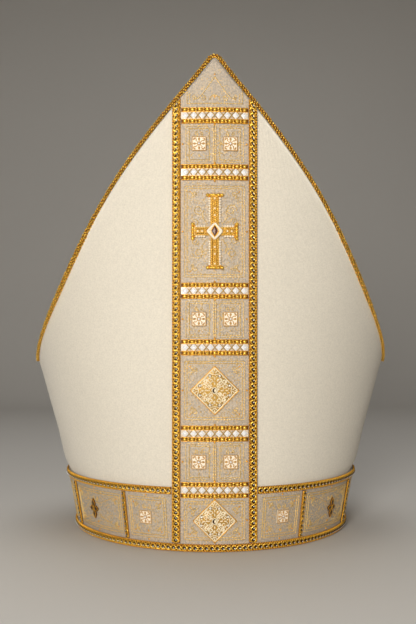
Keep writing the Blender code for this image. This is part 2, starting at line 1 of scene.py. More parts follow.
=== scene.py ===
"""Bishop mitre, dressed: cloth, lamé, gold braid, embroidery, stones, floor and light.

Metres, +Z up. The front faces -Y. Flat work is made as (across, up, lift) and then laid
on the mitre's curved form. The back is the front turned half round.
"""
import math

import bpy
import numpy as np
from bpy.props import FloatProperty, FloatVectorProperty, PointerProperty
from bpy.types import Operator, Panel, PropertyGroup
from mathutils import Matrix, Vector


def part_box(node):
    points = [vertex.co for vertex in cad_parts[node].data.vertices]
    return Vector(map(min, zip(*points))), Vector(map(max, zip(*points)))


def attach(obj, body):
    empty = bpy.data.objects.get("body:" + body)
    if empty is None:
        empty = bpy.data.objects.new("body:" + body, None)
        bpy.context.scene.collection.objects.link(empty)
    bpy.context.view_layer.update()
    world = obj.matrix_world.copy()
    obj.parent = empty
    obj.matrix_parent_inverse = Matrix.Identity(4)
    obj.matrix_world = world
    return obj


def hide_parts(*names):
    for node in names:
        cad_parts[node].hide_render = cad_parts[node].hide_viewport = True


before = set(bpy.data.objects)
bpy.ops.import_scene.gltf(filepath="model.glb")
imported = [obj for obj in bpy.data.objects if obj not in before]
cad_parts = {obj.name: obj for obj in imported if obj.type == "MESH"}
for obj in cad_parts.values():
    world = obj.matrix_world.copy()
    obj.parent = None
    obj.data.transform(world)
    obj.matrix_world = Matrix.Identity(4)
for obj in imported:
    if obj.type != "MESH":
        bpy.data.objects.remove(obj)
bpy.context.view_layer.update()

bl_info = {
    "name": "Bishop mitre",
    "version": (1, 0, 0),
    "blender": (4, 5, 0),
    "location": "3D View > Sidebar > Mitre",
    "description": "Dresses the plain solids of a bishop mitre in cloth, gold and stones",
    "category": "Object",
}

# Form of the mitre, on the outer face of its cloth
BASE_HALF_WIDTH = 0.0933
BASE_HALF_DEPTH = 0.1008
BAND_TOP_HALF_WIDTH = 0.1005
SHOULDER_HALF_WIDTH = 0.1246
SHOULDER_HEIGHT = 0.1150
PEAK_HEIGHT = 0.2970
PEAK_HALF_WIDTH = 0.0008
SHOULDER_FULLNESS = 1.20
HORN_FLATTENING = 0.30
PANEL_THICKNESS = 0.0025
STRIP_THICKNESS = 0.0010
GAP = 0.0003
BAND_HEIGHT = 0.0390
BAND_BRAID_WIDTH = 0.0046
BASE_BRAID_WIDTH = 0.0050
DIVIDER_WIDTH = 0.0030
DIVIDER_ANGLES = {"near": math.radians(33.8), "far": math.radians(65.0)}
COLUMN_HALF_WIDTH = 0.0254
COLUMN_BRAID_WIDTH = 0.0052
COLUMN_EDGE = COLUMN_HALF_WIDTH - 0.0014
COLUMN_INNER = COLUMN_HALF_WIDTH - COLUMN_BRAID_WIDTH
CORD_RADIUS = 0.0017
INNER_CORD_RADIUS = 0.0013
INNER_CORD_TOP = 0.2150
GUSSET_DROP = 0.0045
GUSSET_HALF_THICKNESS = 0.0007
GUSSET_SEAT = 0.0004
GUSSET_SHOULDER_SEAT = 0.0022
GUSSET_VALLEY_RISE = 0.0330
GUSSET_VALLEY_END = SHOULDER_HALF_WIDTH - PANEL_THICKNESS - 0.0030
LAME_FACE = 2.0 * GAP + STRIP_THICKNESS

# Pieces that lie on it
BAR_NUMBERS = range(1, 7)
ROSETTE_NUMBERS = range(1, 7)
LOZENGE_NUMBERS = (1, 2)
CROSS_HALF_WIDTH = 0.0140
ROSETTE_SIZE = 0.0084
LOZENGE_HALF = 0.0134
DIVIDER_UNIT = 0.0028
RAIL_PITCH = 0.0042
BULLION_STEP = 0.0012
STITCH_PITCH = 0.0017
CORD_STEP = 0.0006
CORD_STRANDS = ("gold_cord", "bright", "bright")  # kinds of finish
INNER_CORD_FADE = 0.06
LEAST_STONE = 0.00082  # half width
COLUMN_STONE_LIFT = 0.0006
ROUND_STONE_LIFT = 0.0010
ROSETTE_FIELDS = (1, 3, 5)  # the column's fields, counted from 0 at the bottom
CROSS_FIELD = 4
COLUMN_SPECKS = 1.5e4  # for each metre of a field's height
BAND_SPECKS = 1.2e4  # for each metre of a field's length

# Unevenness of the cloth
WELT_STEPS = (0.0, 0.0004, 0.0009, 0.0014, 0.0019, 0.0026, 0.0040)
WELT_HEIGHT = 0.00038
WELT_MIDDLE = 0.0011
WELT_SPREAD = 0.0007
RIM_DROP = 0.00045
RIM_REACH = 0.0003
PANEL_SLACK = 0.00009
LAME_PUCKER = 0.00006
WEAVE_DEPTH = 0.00012
THREAD_DEPTH = 0.00010

BOTH = (-1.0, 1.0)
HANDS = {"left": -1.0, "right": 1.0}
OPPOSITE = {"left": "right", "right": "left"}
FRONTWARD = (0.0, -1.0, 0.0)
POINTS_PER_TURN = 14
PREFIX = "mitre_"

SIDE_PROFILE = (
    # height, spread
    (0.00, 0.000),
    (0.09, 0.160),
    (0.36, 0.400),
    (0.66, 0.690),
    (1.00, 1.000),
)

HORN_PROFILE = (
    # rise, width
    (0.00, 1.000),
    (0.06, 0.960),
    (0.12, 0.910),
    (0.24, 0.805),
    (0.36, 0.703),
    (0.48, 0.597),
    (0.60, 0.480),
    (0.72, 0.346),
    (0.84, 0.199),
    (0.93, 0.084),
    (1.00, 0.000),
)


def mix(start, end, share):
    """Value a share of the way from start to end."""
    return start + (end - start) * share


def smooth_table(rows, position):
    """Values at positions in a two-column table, along a smooth curve through its rows."""
    x, y = np.array(rows).T
    before = np.maximum(np.arange(len(x)) - 1, 0)
    after = np.minimum(np.arange(len(x)) + 1, len(x) - 1)
    slope = (y[after] - y[before]) / (x[after] - x[before])
    i = np.clip(np.searchsorted(x, position) - 1, 0, len(x) - 2)
    step = x[i + 1] - x[i]
    t = np.clip((position - x[i]) / step, 0.0, 1.0)
    return (
        (2 * t**3 - 3 * t**2 + 1) * y[i]
        + (t**3 - 2 * t**2 + t) * step * slope[i]
        + (-2 * t**3 + 3 * t**2) * y[i + 1]
        + (t**3 - t**2) * step * slope[i + 1]
    )


def side_half_width(z):
    """Half width of the body at the side seam, up to the shoulder."""
    band = mix(BASE_HALF_WIDTH, BAND_TOP_HALF_WIDTH, z / BAND_HEIGHT)
    share = np.clip((z - BAND_HEIGHT) / (SHOULDER_HEIGHT - BAND_HEIGHT), 0.0, 1.0)
    body = mix(BAND_TOP_HALF_WIDTH, SHOULDER_HALF_WIDTH, smooth_table(SIDE_PROFILE, share))
    return np.where(z <= BAND_HEIGHT, band, body)


def section(z):
    """Semi-axes of the ellipse that the front's section follows at a height."""
    low = np.minimum(z, SHOULDER_HEIGHT)
    share = np.maximum(low - BAND_HEIGHT, 0.0) / (SHOULDER_HEIGHT - BAND_HEIGHT)
    fullness = 1.0 + (SHOULDER_FULLNESS - 1.0) * share
    across = side_half_width(low) / np.sqrt(1.0 - (1.0 - 1.0 / fullness) ** 2)
    growth = HORN_FLATTENING * (z - low)
    return across + growth, BASE_HALF_DEPTH * fullness + growth


def on_form(angle, z, lift):
    """Points at angles from the front's middle, lifted off the cloth's outer face."""
    angle, z, lift = np.broadcast_arrays(*[np.asarray(v, float) for v in (angle, z, lift)])
    across, along = section(z)
    out_x = along * np.sin(angle)
    out_y = -across * np.cos(angle)
    length = np.hypot(out_x, out_y)
    x = across * np.sin(angle) + lift * out_x / length
    y = -BASE_HALF_DEPTH + along * (1.0 - np.cos(angle)) + lift * out_y / length
    return np.stack((x, y, z), axis=-1)


def angle_at(x, z):
    """Angle from the front's middle at which the outer face has the half width x."""
    return np.arcsin(np.clip(x / section(z)[0], -1.0, 1.0))


def horn_half_width(z):
    """Half width of a horn's edge above the shoulder."""
    share = (z - SHOULDER_HEIGHT) / (PEAK_HEIGHT - SHOULDER_HEIGHT)
    spread = smooth_table(HORN_PROFILE, share)
    return PEAK_HALF_WIDTH + (SHOULDER_HALF_WIDTH - PEAK_HALF_WIDTH) * spread


def horn_height(x):
    """Height of a horn's edge at the half width x."""
    heights = np.linspace(PEAK_HEIGHT, SHOULDER_HEIGHT, 1500)
    return np.interp(x, horn_half_width(heights), heights)


def column_top(x):
    """Height at which the column ends under the horn's edge, at the half width x."""
    return horn_height(np.abs(x) + 2.0 * GAP) - GAP


def edge_angle(z):
    """Angle of a panel's edge: the side seam below, the horn's edge above."""
    across, along = section(z)
    meeting = np.arccos(1.0 - BASE_HALF_DEPTH / along)
    outward = np.hypot(along * np.sin(meeting), across * np.cos(meeting))
    set_back = 0.5 * GAP + PANEL_THICKNESS * across * np.cos(meeting) / outward
    seam = np.arccos(1.0 - (BASE_HALF_DEPTH - set_back) / along)
    horn = angle_at(horn_half_width(np.maximum(z, SHOULDER_HEIGHT)), z)
    return np.where(z <= SHOULDER_HEIGHT, seam, np.minimum(seam, horn))


def on_lame(x, z, lift):
    """Points of flat work on the column, which lies on the lamé."""
    return on_form(angle_at(x, z), z, LAME_FACE + lift)


def on_column(x0, z0):
    """Placing function for flat work on the column round a middle point."""
    return lambda x, y, lift: on_lame(x0 + x, z0 + y, lift)


def on_band(middle_angle, z0):
    """Placing function for flat work on the band round a middle point."""
    across, along = section(z0)
    reach = math.hypot(across * math.cos(middle_angle), along * math.sin(middle_angle))

    def place(x, y, lift):
        return on_form(middle_angle + x / reach, z0 + y, LAME_FACE + lift)

    return place


def travel(path):
    """Length along a path at each of its points."""
    return np.concatenate(([0.0], np.cumsum(np.linalg.norm(np.diff(path, axis=0), axis=1))))


def round_band(start, end, z0):
    """Placing function and length for work that runs round the band between two angles."""
    angles = np.linspace(start, end, 400)
    run = travel(on_form(angles, z0, LAME_FACE))

    def place(x, y, lift):
        return on_form(np.interp(x, run, angles), z0 + y, LAME_FACE + lift)

    return place, run[-1]


# Shapes: each is a list of points and a list of face arrays


def lattice(rows, columns, round_rows=False):
    """Quads over rows and columns of points, the columns closed into rings if asked."""
    i = np.arange(rows - 1)[:, None]
    j = np.arange(columns if round_rows else columns - 1)[None]
    after = (j + 1) % columns
    corners = (i * columns + j, i * columns + after, (i + 1) * columns + after, (i + 1) * columns + j)
    return np.stack(np.broadcast_arrays(*corners), axis=-1).reshape(-1, 4)


def unit(vectors):
    """Vectors at length one."""
    return vectors / np.maximum(np.linalg.norm(vectors, axis=-1, keepdims=True), 1e-12)


def tube(path, radius, sides=5, up=(0.0, 0.0, 1.0), closed=False):
    """Round tube along a path, with its ends drawn shut."""
    path = np.asarray(path, float)
    radius = np.broadcast_to(np.asarray(radius, float), (len(path),))
    up = np.broadcast_to(np.asarray(up, float), path.shape)
    if not closed:
        path = np.concatenate((path[:1], path, path[-1:]))
        radius = np.concatenate(([1e-5], radius, [1e-5]))
        up = np.concatenate((up[:1], up, up[-1:]))
        tangent = path.copy()
        tangent[1:-1] = np.gradient(path[1:-1], axis=0)
        tangent[0], tangent[-1] = tangent[1], tangent[-2]
    else:
        tangent = np.roll(path, -1, 0) - np.roll(path, 1, 0)
    tangent = unit(tangent)
    side = unit(np.cross(tangent, up))
    top = np.cross(side, tangent)
    turn = 2.0 * np.pi * np.arange(sides) / sides
    ring = np.cos(turn)[None, :, None] * side[:, None] + np.sin(turn)[None, :, None] * top[:, None]
    points = path[:, None] + radius[:, None, None] * ring
    faces = lattice(len(path) + closed, sides, True)[:, ::-1] % (len(path) * sides)
    return points.reshape(-1, 3), [faces]


def ball(rings, sides):
    """Ball of radius one, with its poles up and down the lift."""
    polar = np.pi * np.arange(1, rings) / rings
    turn = 2.0 * np.pi * np.arange(sides) / sides
    circle = np.stack((np.cos(turn), np.sin(turn), np.zeros(sides)), axis=-1)
    bands = np.sin(polar)[:, None, None] * circle[None]
    bands[..., 2] = np.cos(polar)[:, None]
    points = np.concatenate(([[0, 0, 1]], bands.reshape(-1, 3), [[0, 0, -1]]))
    j = np.arange(sides)
    after = (j + 1) % sides
    last = len(points) - 1
    first_low = last - sides
    caps = np.concatenate((
        np.stack((0 * j, 1 + j, 1 + after), axis=-1),
        np.stack((0 * j + last, first_low + after, first_low + j), axis=-1),
    ))
    faces = [caps]
    if rings > 2:
        faces.append(1 + lattice(rings - 1, sides, True)[:, ::-1])
    return points, faces


def cut_stone(outline, levels):
    """Outline raised through levels, each a share and a lift, under a flat table."""
    outline = np.asarray(outline, float)
    sides = len(outline)
    rings = [np.column_stack((outline * share, np.full(sides, lift))) for share, lift in levels]
    centre = [[0.0, 0.0, levels[-1][1]]]
    points = np.concatenate(rings + [centre])
    j = np.arange(sides)
    top = (len(levels) - 1) * sides
    table = np.stack((top + j, top + (j + 1) % sides, 0 * j + len(points) - 1), axis=-1)
    return points, [lattice(len(levels), sides, True), table]


def scatter(part, centres, scale, turn=0.0):
    """Copies of a part, scaled, turned about the lift and moved to their centres."""
    points, faces = part
    centres = np.atleast_2d(np.asarray(centres, float))
    count = len(centres)
    scale = np.broadcast_to(np.asarray(scale, float), (count, 3))
    turn = np.broadcast_to(np.asarray(turn, float), (count,))[:, None]
    sized = points[None] * scale[:, None]
    x = sized[..., 0] * np.cos(turn) - sized[..., 1] * np.sin(turn)
    y = sized[..., 0] * np.sin(turn) + sized[..., 1] * np.cos(turn)
    moved = np.stack((x, y, sized[..., 2]), axis=-1) + centres[:, None]
    shift = (np.arange(count) * len(points))[:, None, None]
    return moved.reshape(-1, 3), [(face[None] + shift).reshape(-1, face.shape[1]) for face in faces]


def closed_sheet(outer, inner):
    """Thin closed sheet from grids of outer and inner points."""
    rows, columns = outer.shape[:2]
    count = rows * columns
    grid = lattice(rows, columns)
    index = np.arange(count).reshape(rows, columns)
    rim = np.concatenate((index[0], index[1:, -1], index[-1, -2::-1], index[-2:0:-1, 0]))
    after = np.roll(rim, -1)
    wall = np.stack((rim, rim + count, after + count, after), axis=-1)
    points = np.concatenate((outer.reshape(-1, 3), inner.reshape(-1, 3)))
    return points, [grid, grid[:, ::-1] + count, wall]


# Flat paths, outlines and rows of points


def line(*corners):
    """Flat path through corners."""
    return np.array(corners, float)


def even(path, step):
    """Path read off again at even steps."""
    path = np.asarray(path, float)
    run = travel(path)
    marks = np.linspace(0.0, run[-1], max(int(round(run[-1] / step)), 2) + 1)
    return np.column_stack([np.interp(marks, run, axis) for axis in path.T])


def spiral(x, y, radius, start, turns, share=0.25):
    """Flat path that curls in from a radius to a share of it."""
    t = np.linspace(0.0, 1.0, max(int(abs(turns) * POINTS_PER_TURN), 5))
    angle = start + 2.0 * np.pi * turns * t
    reach = radius * mix(1.0, share, t)
    return np.column_stack((x + reach * np.cos(angle), y + reach * np.sin(angle)))


def ring_outline(sides, half_width, half_height, turn=0.0):
    """Outline round an ellipse."""
    angle = turn + 2.0 * np.pi * np.arange(sides) / sides
    return np.column_stack((half_width * np.cos(angle), half_height * np.sin(angle)))


def closed_line(outline):
    """Outline with its first point once more at its end."""
    return np.vstack((outline, outline[:1]))


def rectangle(x0, x1, y0, y1):
    """Closed flat path round a rectangle."""
    return closed_line(line((x0, y0), (x1, y0), (x1, y1), (x0, y1)))


def rotated(flat, angle):
    """Flat points turned about the middle."""
    c, s = math.cos(angle), math.sin(angle)
    return np.column_stack((flat[:, 0] * c - flat[:, 1] * s, flat[:, 0] * s + flat[:, 1] * c))


def raised(flat, lift):
    """Flat points at one lift."""
    return np.column_stack((flat, np.full(len(flat), lift)))


def points_at(x, y, lift):
    """Points from their coordinates, each a number or a row of numbers."""
    return np.column_stack(np.broadcast_arrays(*np.atleast_1d(x, y, lift)))


def beaded(count, low, high):
    """Shares of a thread's radius that swap between low and high from point to point."""
    return np.where(np.arange(count) % 2, high, low)


# Pieces in the making


class Piece:
    """Gathers the parts of one piece, lays them on the form and makes the mesh."""

    def __init__(self, place=None):
        self.place = place
        self.points, self.faces, self.finishes, self.smooth, self.uvs = [], [], [], [], []
        self.kinds = []
        self.count = 0

    def put(self, part, kind, flat=False, uv=None):
        """Add a part in one kind of finish, laid on the form if the piece has a place."""
        points, faces = part
        self.uvs.append(points[:, :2] if uv is None else uv)
        if self.place:
            points = self.place(points[:, 0], points[:, 1], points[:, 2])
        self.points.append(points)
        if kind not in self.kinds:
            self.kinds.append(kind)
        for face in faces:
            if len(face):
                self.faces.append(face + self.count)
                self.finishes.append(np.full(len(face), self.kinds.index(kind)))
                self.smooth.append(np.full(len(face), not flat))
        self.count += len(points)

    def build(self, name, turned=False):
        """Object with the piece's mesh, turned half round to the back if asked."""
        points = np.concatenate(self.points)
        if turned:
            points = points * (-1.0, -1.0, 1.0)
        uvs = np.concatenate(self.uvs)
        loops = np.concatenate([face.ravel() for face in self.faces])
        sizes = np.concatenate([np.full(len(face), face.shape[1]) for face in self.faces])
        starts = np.concatenate(([0], np.cumsum(sizes)[:-1]))
        mesh = bpy.data.meshes.new(name)
        mesh.vertices.add(len(points))
        mesh.vertices.foreach_set("co", points.ravel())
        mesh.loops.add(len(loops))
        mesh.loops.foreach_set("vertex_index", loops.astype(np.int32))
        mesh.polygons.add(len(sizes))
        mesh.polygons.foreach_set("loop_start", starts.astype(np.int32))
        mesh.polygons.foreach_set("material_index", np.concatenate(self.finishes).astype(np.int32))
        mesh.polygons.foreach_set("use_smooth", np.concatenate(self.smooth))
        layer = mesh.uv_layers.new(name="UVMap")
        layer.data.foreach_set("uv", uvs[loops].ravel())
        made_finishes = finishes()
        for kind in self.kinds:
            mesh.materials.append(made_finishes[kind])
        mesh.update(calc_edges=True)
        made = bpy.data.objects.new(name, mesh)
        bpy.context.scene.collection.objects.link(made)
        return made


def dress(made, slot, *nodes):
    """Let a piece ride on the mitre and stand for its CAD nodes."""
    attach(made, "root")
    if nodes:
        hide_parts(*nodes)
    return made


def dress_both(piece, slot, name, node=None, ends=("front", "back")):
    """Build a piece in its place and again, turned half round, on the other side.

    The object's name and its CAD node's name hold {} where a word from ends goes in.
    """
    for end, turned in zip(ends, (False, True)):
        nodes = [node.format(end)] if node else []
        dress(piece.build(name.format(end), turned), slot, *nodes)


# Finishes


class Finish:
    """Builds one procedural material."""

    def __init__(self, name, color, roughness, metallic=0.0):
        self.material = bpy.data.materials.new(name)
        self.material.use_nodes = True
        self.tree = self.material.node_tree
        self.shader = self.tree.nodes["Principled BSDF"]
        self.set("Base Color", (*color, 1.0))
        self.set("Roughness", roughness)
        self.set("Metallic", metallic)
        self.color = color

    def set(self, socket, value):
        """Give the shader's socket a constant."""
        self.shader.inputs[socket].default_value = value

    def node(self, kind, links=None, **settings):
        """New node with its settings, and links from other nodes' sockets."""
        made = self.tree.nodes.new("ShaderNode" + kind)
        for key, value in settings.items():
            if hasattr(made, key):
                setattr(made, key, value)
            else:
                made.inputs[key.replace("_", " ")].default_value = value
        for socket, source in (links or {}).items():
            self.tree.links.new(source, made.inputs[socket])
        return made

    def math(self, operation, first, second):
        """Result of an operation on two sockets or numbers."""
        made = self.tree.nodes.new("ShaderNodeMath")
        made.operation = operation
        for i, value in enumerate((first, second)):
            if isinstance(value, (int, float)):
                made.inputs[i].default_value = value
            else:
                self.tree.links.new(value, made.inputs[i])
        return made.outputs[0]

    def noise(self, scale, detail=2.0, space="Object", stretch=None):
        """Noise in the object's or the mesh's own coordinates."""
        where = self.node("TexCoord").outputs[space]
        if stretch:
            where = self.node("Mapping", {"Vector": where}, Scale=stretch).outputs[0]
        return self.node("TexNoise", {"Vector": where}, Scale=scale, Detail=detail).outputs["Fac"]

    def bands(self, axis, pitch):
        """Threads side by side, by the mesh's UV in metres."""
        where = self.node("TexCoord").outputs["UV"]
        waves_in_one = 20.0 / (2.0 * math.pi)  # of Blender's wave texture at scale 1
        made = self.node("TexWave", {"Vector": where}, bands_direction=axis,
                         Scale=1.0 / (waves_in_one * pitch))
        return made.outputs["Fac"]

    def tint(self, factor, low, high, source=None):
        """Vary the base colour between two shares of it."""
        ramp = self.node("MapRange", {"Value": factor}, To_Min=low, To_Max=high)
        shade = self.node("VectorMath", operation="SCALE")
        if source is None:
            shade.inputs[0].default_value = self.color
        else:
            self.tree.links.new(source, shade.inputs[0])
        self.tree.links.new(ramp.outputs[0], shade.inputs["Scale"])
        self.tree.links.new(shade.outputs[0], self.shader.inputs["Base Color"])
        return shade.outputs[0]

    def blend(self, source, color, factor):
        """Turn the base colour towards another one by a pattern."""
        made = self.tree.nodes.new("ShaderNodeMix")
        made.data_type = "RGBA"
        self.tree.links.new(factor, made.inputs["Factor"])
        self.tree.links.new(source, made.inputs["A"])
        made.inputs["B"].default_value = (*color, 1.0)
        self.tree.links.new(made.outputs["Result"], self.shader.inputs["Base Color"])

    def bump(self, height, depth):
        """Raise the surface by a height pattern."""
        made = self.node("Bump", {"Height": height}, Strength=1.0, Distance=depth)
        self.tree.links.new(made.outputs[0], self.shader.inputs["Normal"])


def cloth_finish(name, color, pitch):
    """Fine wool cloth in plain weave, a little uneven, with a soft bloom."""
    made = Finish(name, color, 0.9)
    made.set("Sheen Weight", 0.25)
    made.set("Sheen Roughness", 0.5)
    made.set("Specular IOR Level", 0.25)
    weave = made.math("MULTIPLY", made.bands("X", pitch), made.bands("Y", pitch))
    fuzz = made.noise(1100.0, 4.0)
    made.bump(made.math("ADD", weave, fuzz), WEAVE_DEPTH)
    mottled = made.tint(made.noise(14.0, 4.0), 0.97, 1.03)
    grained = made.tint(made.math("ADD", made.math("MULTIPLY", weave, 0.35), fuzz), 0.80, 1.12, mottled)
    made.tint(made.noise(420.0, 3.0), 0.95, 1.05, grained)


def lame_finish(name, color, glint, pitch):
    """Lamé: cloth woven with fine metal thread, its glints painted into the colour as gold specks."""
    made = Finish(name, color, 0.55, 0.35)
    made.set("Sheen Weight", 0.15)
    weave = made.math("MULTIPLY", made.bands("X", pitch), made.bands("Y", 1.4 * pitch))
    fine = made.noise(1000.0, 6.0, "UV", (1.0, 0.8, 1.0))
    made.bump(made.math("ADD", weave, fine), THREAD_DEPTH)
    mottled = made.tint(made.noise(60.0, 4.0), 0.86, 1.10)
    grained = made.tint(fine, 0.22, 1.79, mottled)
    # Painted glints: where a fine noise passes a threshold the colour turns to gold, standing for light
    # caught by the metal threads.
    spark = made.node("MapRange", {"Value": made.noise(1200.0, 3.0)}, From_Min=0.58, From_Max=0.66)
    made.blend(grained, glint, spark.outputs[0])


def gold_finish(name, color, roughness, metallic, wear, coat):
    """Gold-wrapped thread, with dull and bright places."""
    made = Finish(name, color, roughness, metallic)
    made.set("Specular IOR Level", 0.2)
    made.set("Coat Weight", coat)
    made.set("Coat Roughness", 0.18)
    made.bump(made.noise(2600.0, 1.0), THREAD_DEPTH)
    made.tint(made.noise(380.0, 3.0), 1.0 - wear, 1.0 + 0.6 * wear)


def stone_finish(name, color, roughness, transmission, coat, ior):
    """Polished stone, glass or bead."""
    made = Finish(name, color, roughness)
    made.set("Transmission Weight", transmission)
    made.set("Coat Weight", coat)
    made.set("Coat Roughness", 0.04)
    made.set("IOR", ior)
    made.tint(made.noise(300.0), 0.88, 1.10)


def finishes():
    """Every finish by its kind, made on the first call from the looks in the sidebar."""
    if PREFIX + "cream" not in bpy.data.materials:
        looks = bpy.context.scene.mitre_looks
        cloth_finish(PREFIX + "cream", looks.cream, looks.weave_pitch)
        cloth_finish(PREFIX + "crown", looks.crown, looks.weave_pitch)
        lame_finish(PREFIX + "lame", looks.lame, looks.lame_glint, looks.lame_pitch)
        for kind, color, roughness, metallic, wear, coat in (
            # kind, color, roughness, metallic, wear, coat
            ("gold", looks.gold, 0.34, 0.64, 0.25, 0.45),
            ("gold_cord", looks.cord, 0.30, 0.50, 0.50, 0.20),
            ("bright", looks.bright_gold, 0.26, 0.64, 0.20, 0.55),
            # ground: dark brown, painted shade for the gaps in the gold work.
            ("ground", looks.gold_ground, 0.55, 0.30, 0.40, 0.00),
            ("thread", looks.thread, 0.36, 0.50, 0.30, 0.20),
            ("scroll", looks.scroll, 0.40, 0.15, 0.20, 0.20),
            ("relief", looks.relief, 0.45, 0.40, 0.30, 0.10),
            ("petal", looks.petal, 0.45, 0.20, 0.30, 0.10),
        ):
            gold_finish(PREFIX + kind, color, roughness, metallic, wear, coat)
        for kind, color, roughness, transmission, coat, ior in (
            # kind, color, roughness, transmission, coat, index of refraction
            ("gem", looks.gem, 0.25, 0.0, 0.0, 1.25),
            ("crystal", looks.crystal, 0.15, 0.0, 0.4, 1.60),
            # White beads set where the braids' dark stones glint: a painted highlight.
            ("spark", looks.crystal, 0.12, 0.0, 1.0, 1.60),
            ("pearl", looks.pearl, 0.18, 0.0, 0.8, 1.60),
            ("white", looks.white_bead, 0.60, 0.0, 0.0, 1.60),
            ("bed", looks.bed, 0.35, 0.0, 0.2, 1.60),
            ("smoke", looks.smoke, 0.65, 0.0, 0.0, 1.60),
            ("amber", looks.amber, 0.22, 0.1, 0.1, 1.60),
        ):
            stone_finish(PREFIX + kind, color, roughness, transmission, coat, ior)
    made = [material for material in bpy.data.materials if material.name.startswith(PREFIX)]
    return {material.name[len(PREFIX):]: material for material in made}


# Gold work


BEAD = ball(4, 7)
SMALL_BEAD = ball(3, 5)
FINE_BEAD = ball(4, 10)
SPECK = ball(2, 4)


def woven_braid(length, width, unit_length, stone_lift):
    """Parts of a braid that runs up from 0, each with its kind of finish.

    A domed ground, dark brown as painted shade, carries dark stones, each with a small white
    bead as a painted highlight, two strands that cross between them, and on each side a row
    of grains and a finer row on the rim.
    """
    count = max(int(round(length / unit_length)), 1)
    step = length / count
    half = 0.5 * width
    shares = np.linspace(-1.0, 1.0, 6)
    marks = np.linspace(0.0, length, 2 * count + 1)
    across, along = np.meshgrid(shares * half * 0.96, marks)
    dome = 0.0001 + 0.0005 * np.cos(0.5 * np.pi * np.broadcast_to(shares, across.shape))
    ground = np.stack((across, along, dome), axis=-1).reshape(-1, 3)
    # The ground's dark brown is painted shade: it shows in the gaps between strands, grains and stones.
    parts = [((ground, [lattice(*across.shape)]), "ground")]

    middles = step * (np.arange(count) + 0.5)
    stones = points_at(0.0, middles, stone_lift)
    stone_size = (max(0.195 * width, LEAST_STONE), 0.33 * step, 0.00080)
    parts.append((scatter(BEAD, stones, stone_size), "gem"))
    # Painted highlight: a small white bead on each dark stone, up and to the side, where its glint falls.
    painted_glints = stones + (0.045 * width, 0.10 * step, 0.00060)
    parts.append((scatter(SMALL_BEAD, painted_glints, (0.085 * width, 0.135 * step, 0.00040)), "spark"))

    fine = np.linspace(0.0, length, 6 * count + 1)
    wave = np.pi * fine / step
    beside = step * (np.arange(2 * count) + 0.5) / 2.0
    rim = step * np.arange(1, 2 * count) / 2.0
    for side in BOTH:
        rise = 0.00085 + 0.00022 * np.cos(wave) * side
        strand = points_at(side * 0.290 * width * np.sin(wave), fine, rise)
        parts.append((tube(strand, 0.074 * width * beaded(len(fine), 0.60, 1.45)), "bright"))
        for share, along, lift, size, turn in (
            # share of the width, along, lift, size, turn
            (0.345, beside, 0.00066, (0.145 * width, 0.120 * step, 0.00060), 0.6),
            (0.435, rim, 0.00040, (0.085 * width, 0.150 * step, 0.00045), 0.4),
        ):
            grains = points_at(side * share * width, along, lift)
            parts.append((scatter(SMALL_BEAD, grains, size, side * turn), "gold"))
    return parts


def braid_piece(parts, place):
    """Braid of the given parts, laid on the form."""
    piece = Piece(place)
    for part, kind in parts:
        piece.put(part, kind, flat=kind == "gem")
    return piece


def twisted(piece, path, strand_turn, radius, core_sides):
    """Twisted cord round a path in space: a core, then strands of short knots of purl."""
    run = travel(path)
    tangent = unit(np.gradient(path, axis=0))
    side = unit(np.cross(tangent, FRONTWARD))
    top = np.cross(side, tangent)
    # The core's dark brown is painted shade between the strands' knots.
    piece.put(tube(path, 0.66 * radius, core_sides, FRONTWARD), "ground")
    for k, kind in enumerate(CORD_STRANDS):
        turn = 2.0 * np.pi * (run / strand_turn + k / len(CORD_STRANDS))
        radial = np.cos(turn)[:, None] * side + np.sin(turn)[:, None] * top
        knots = (path + 0.56 * radius * radial)[k % 2::2]
        piece.put(scatter(SMALL_BEAD, knots, 0.42 * radius), kind)


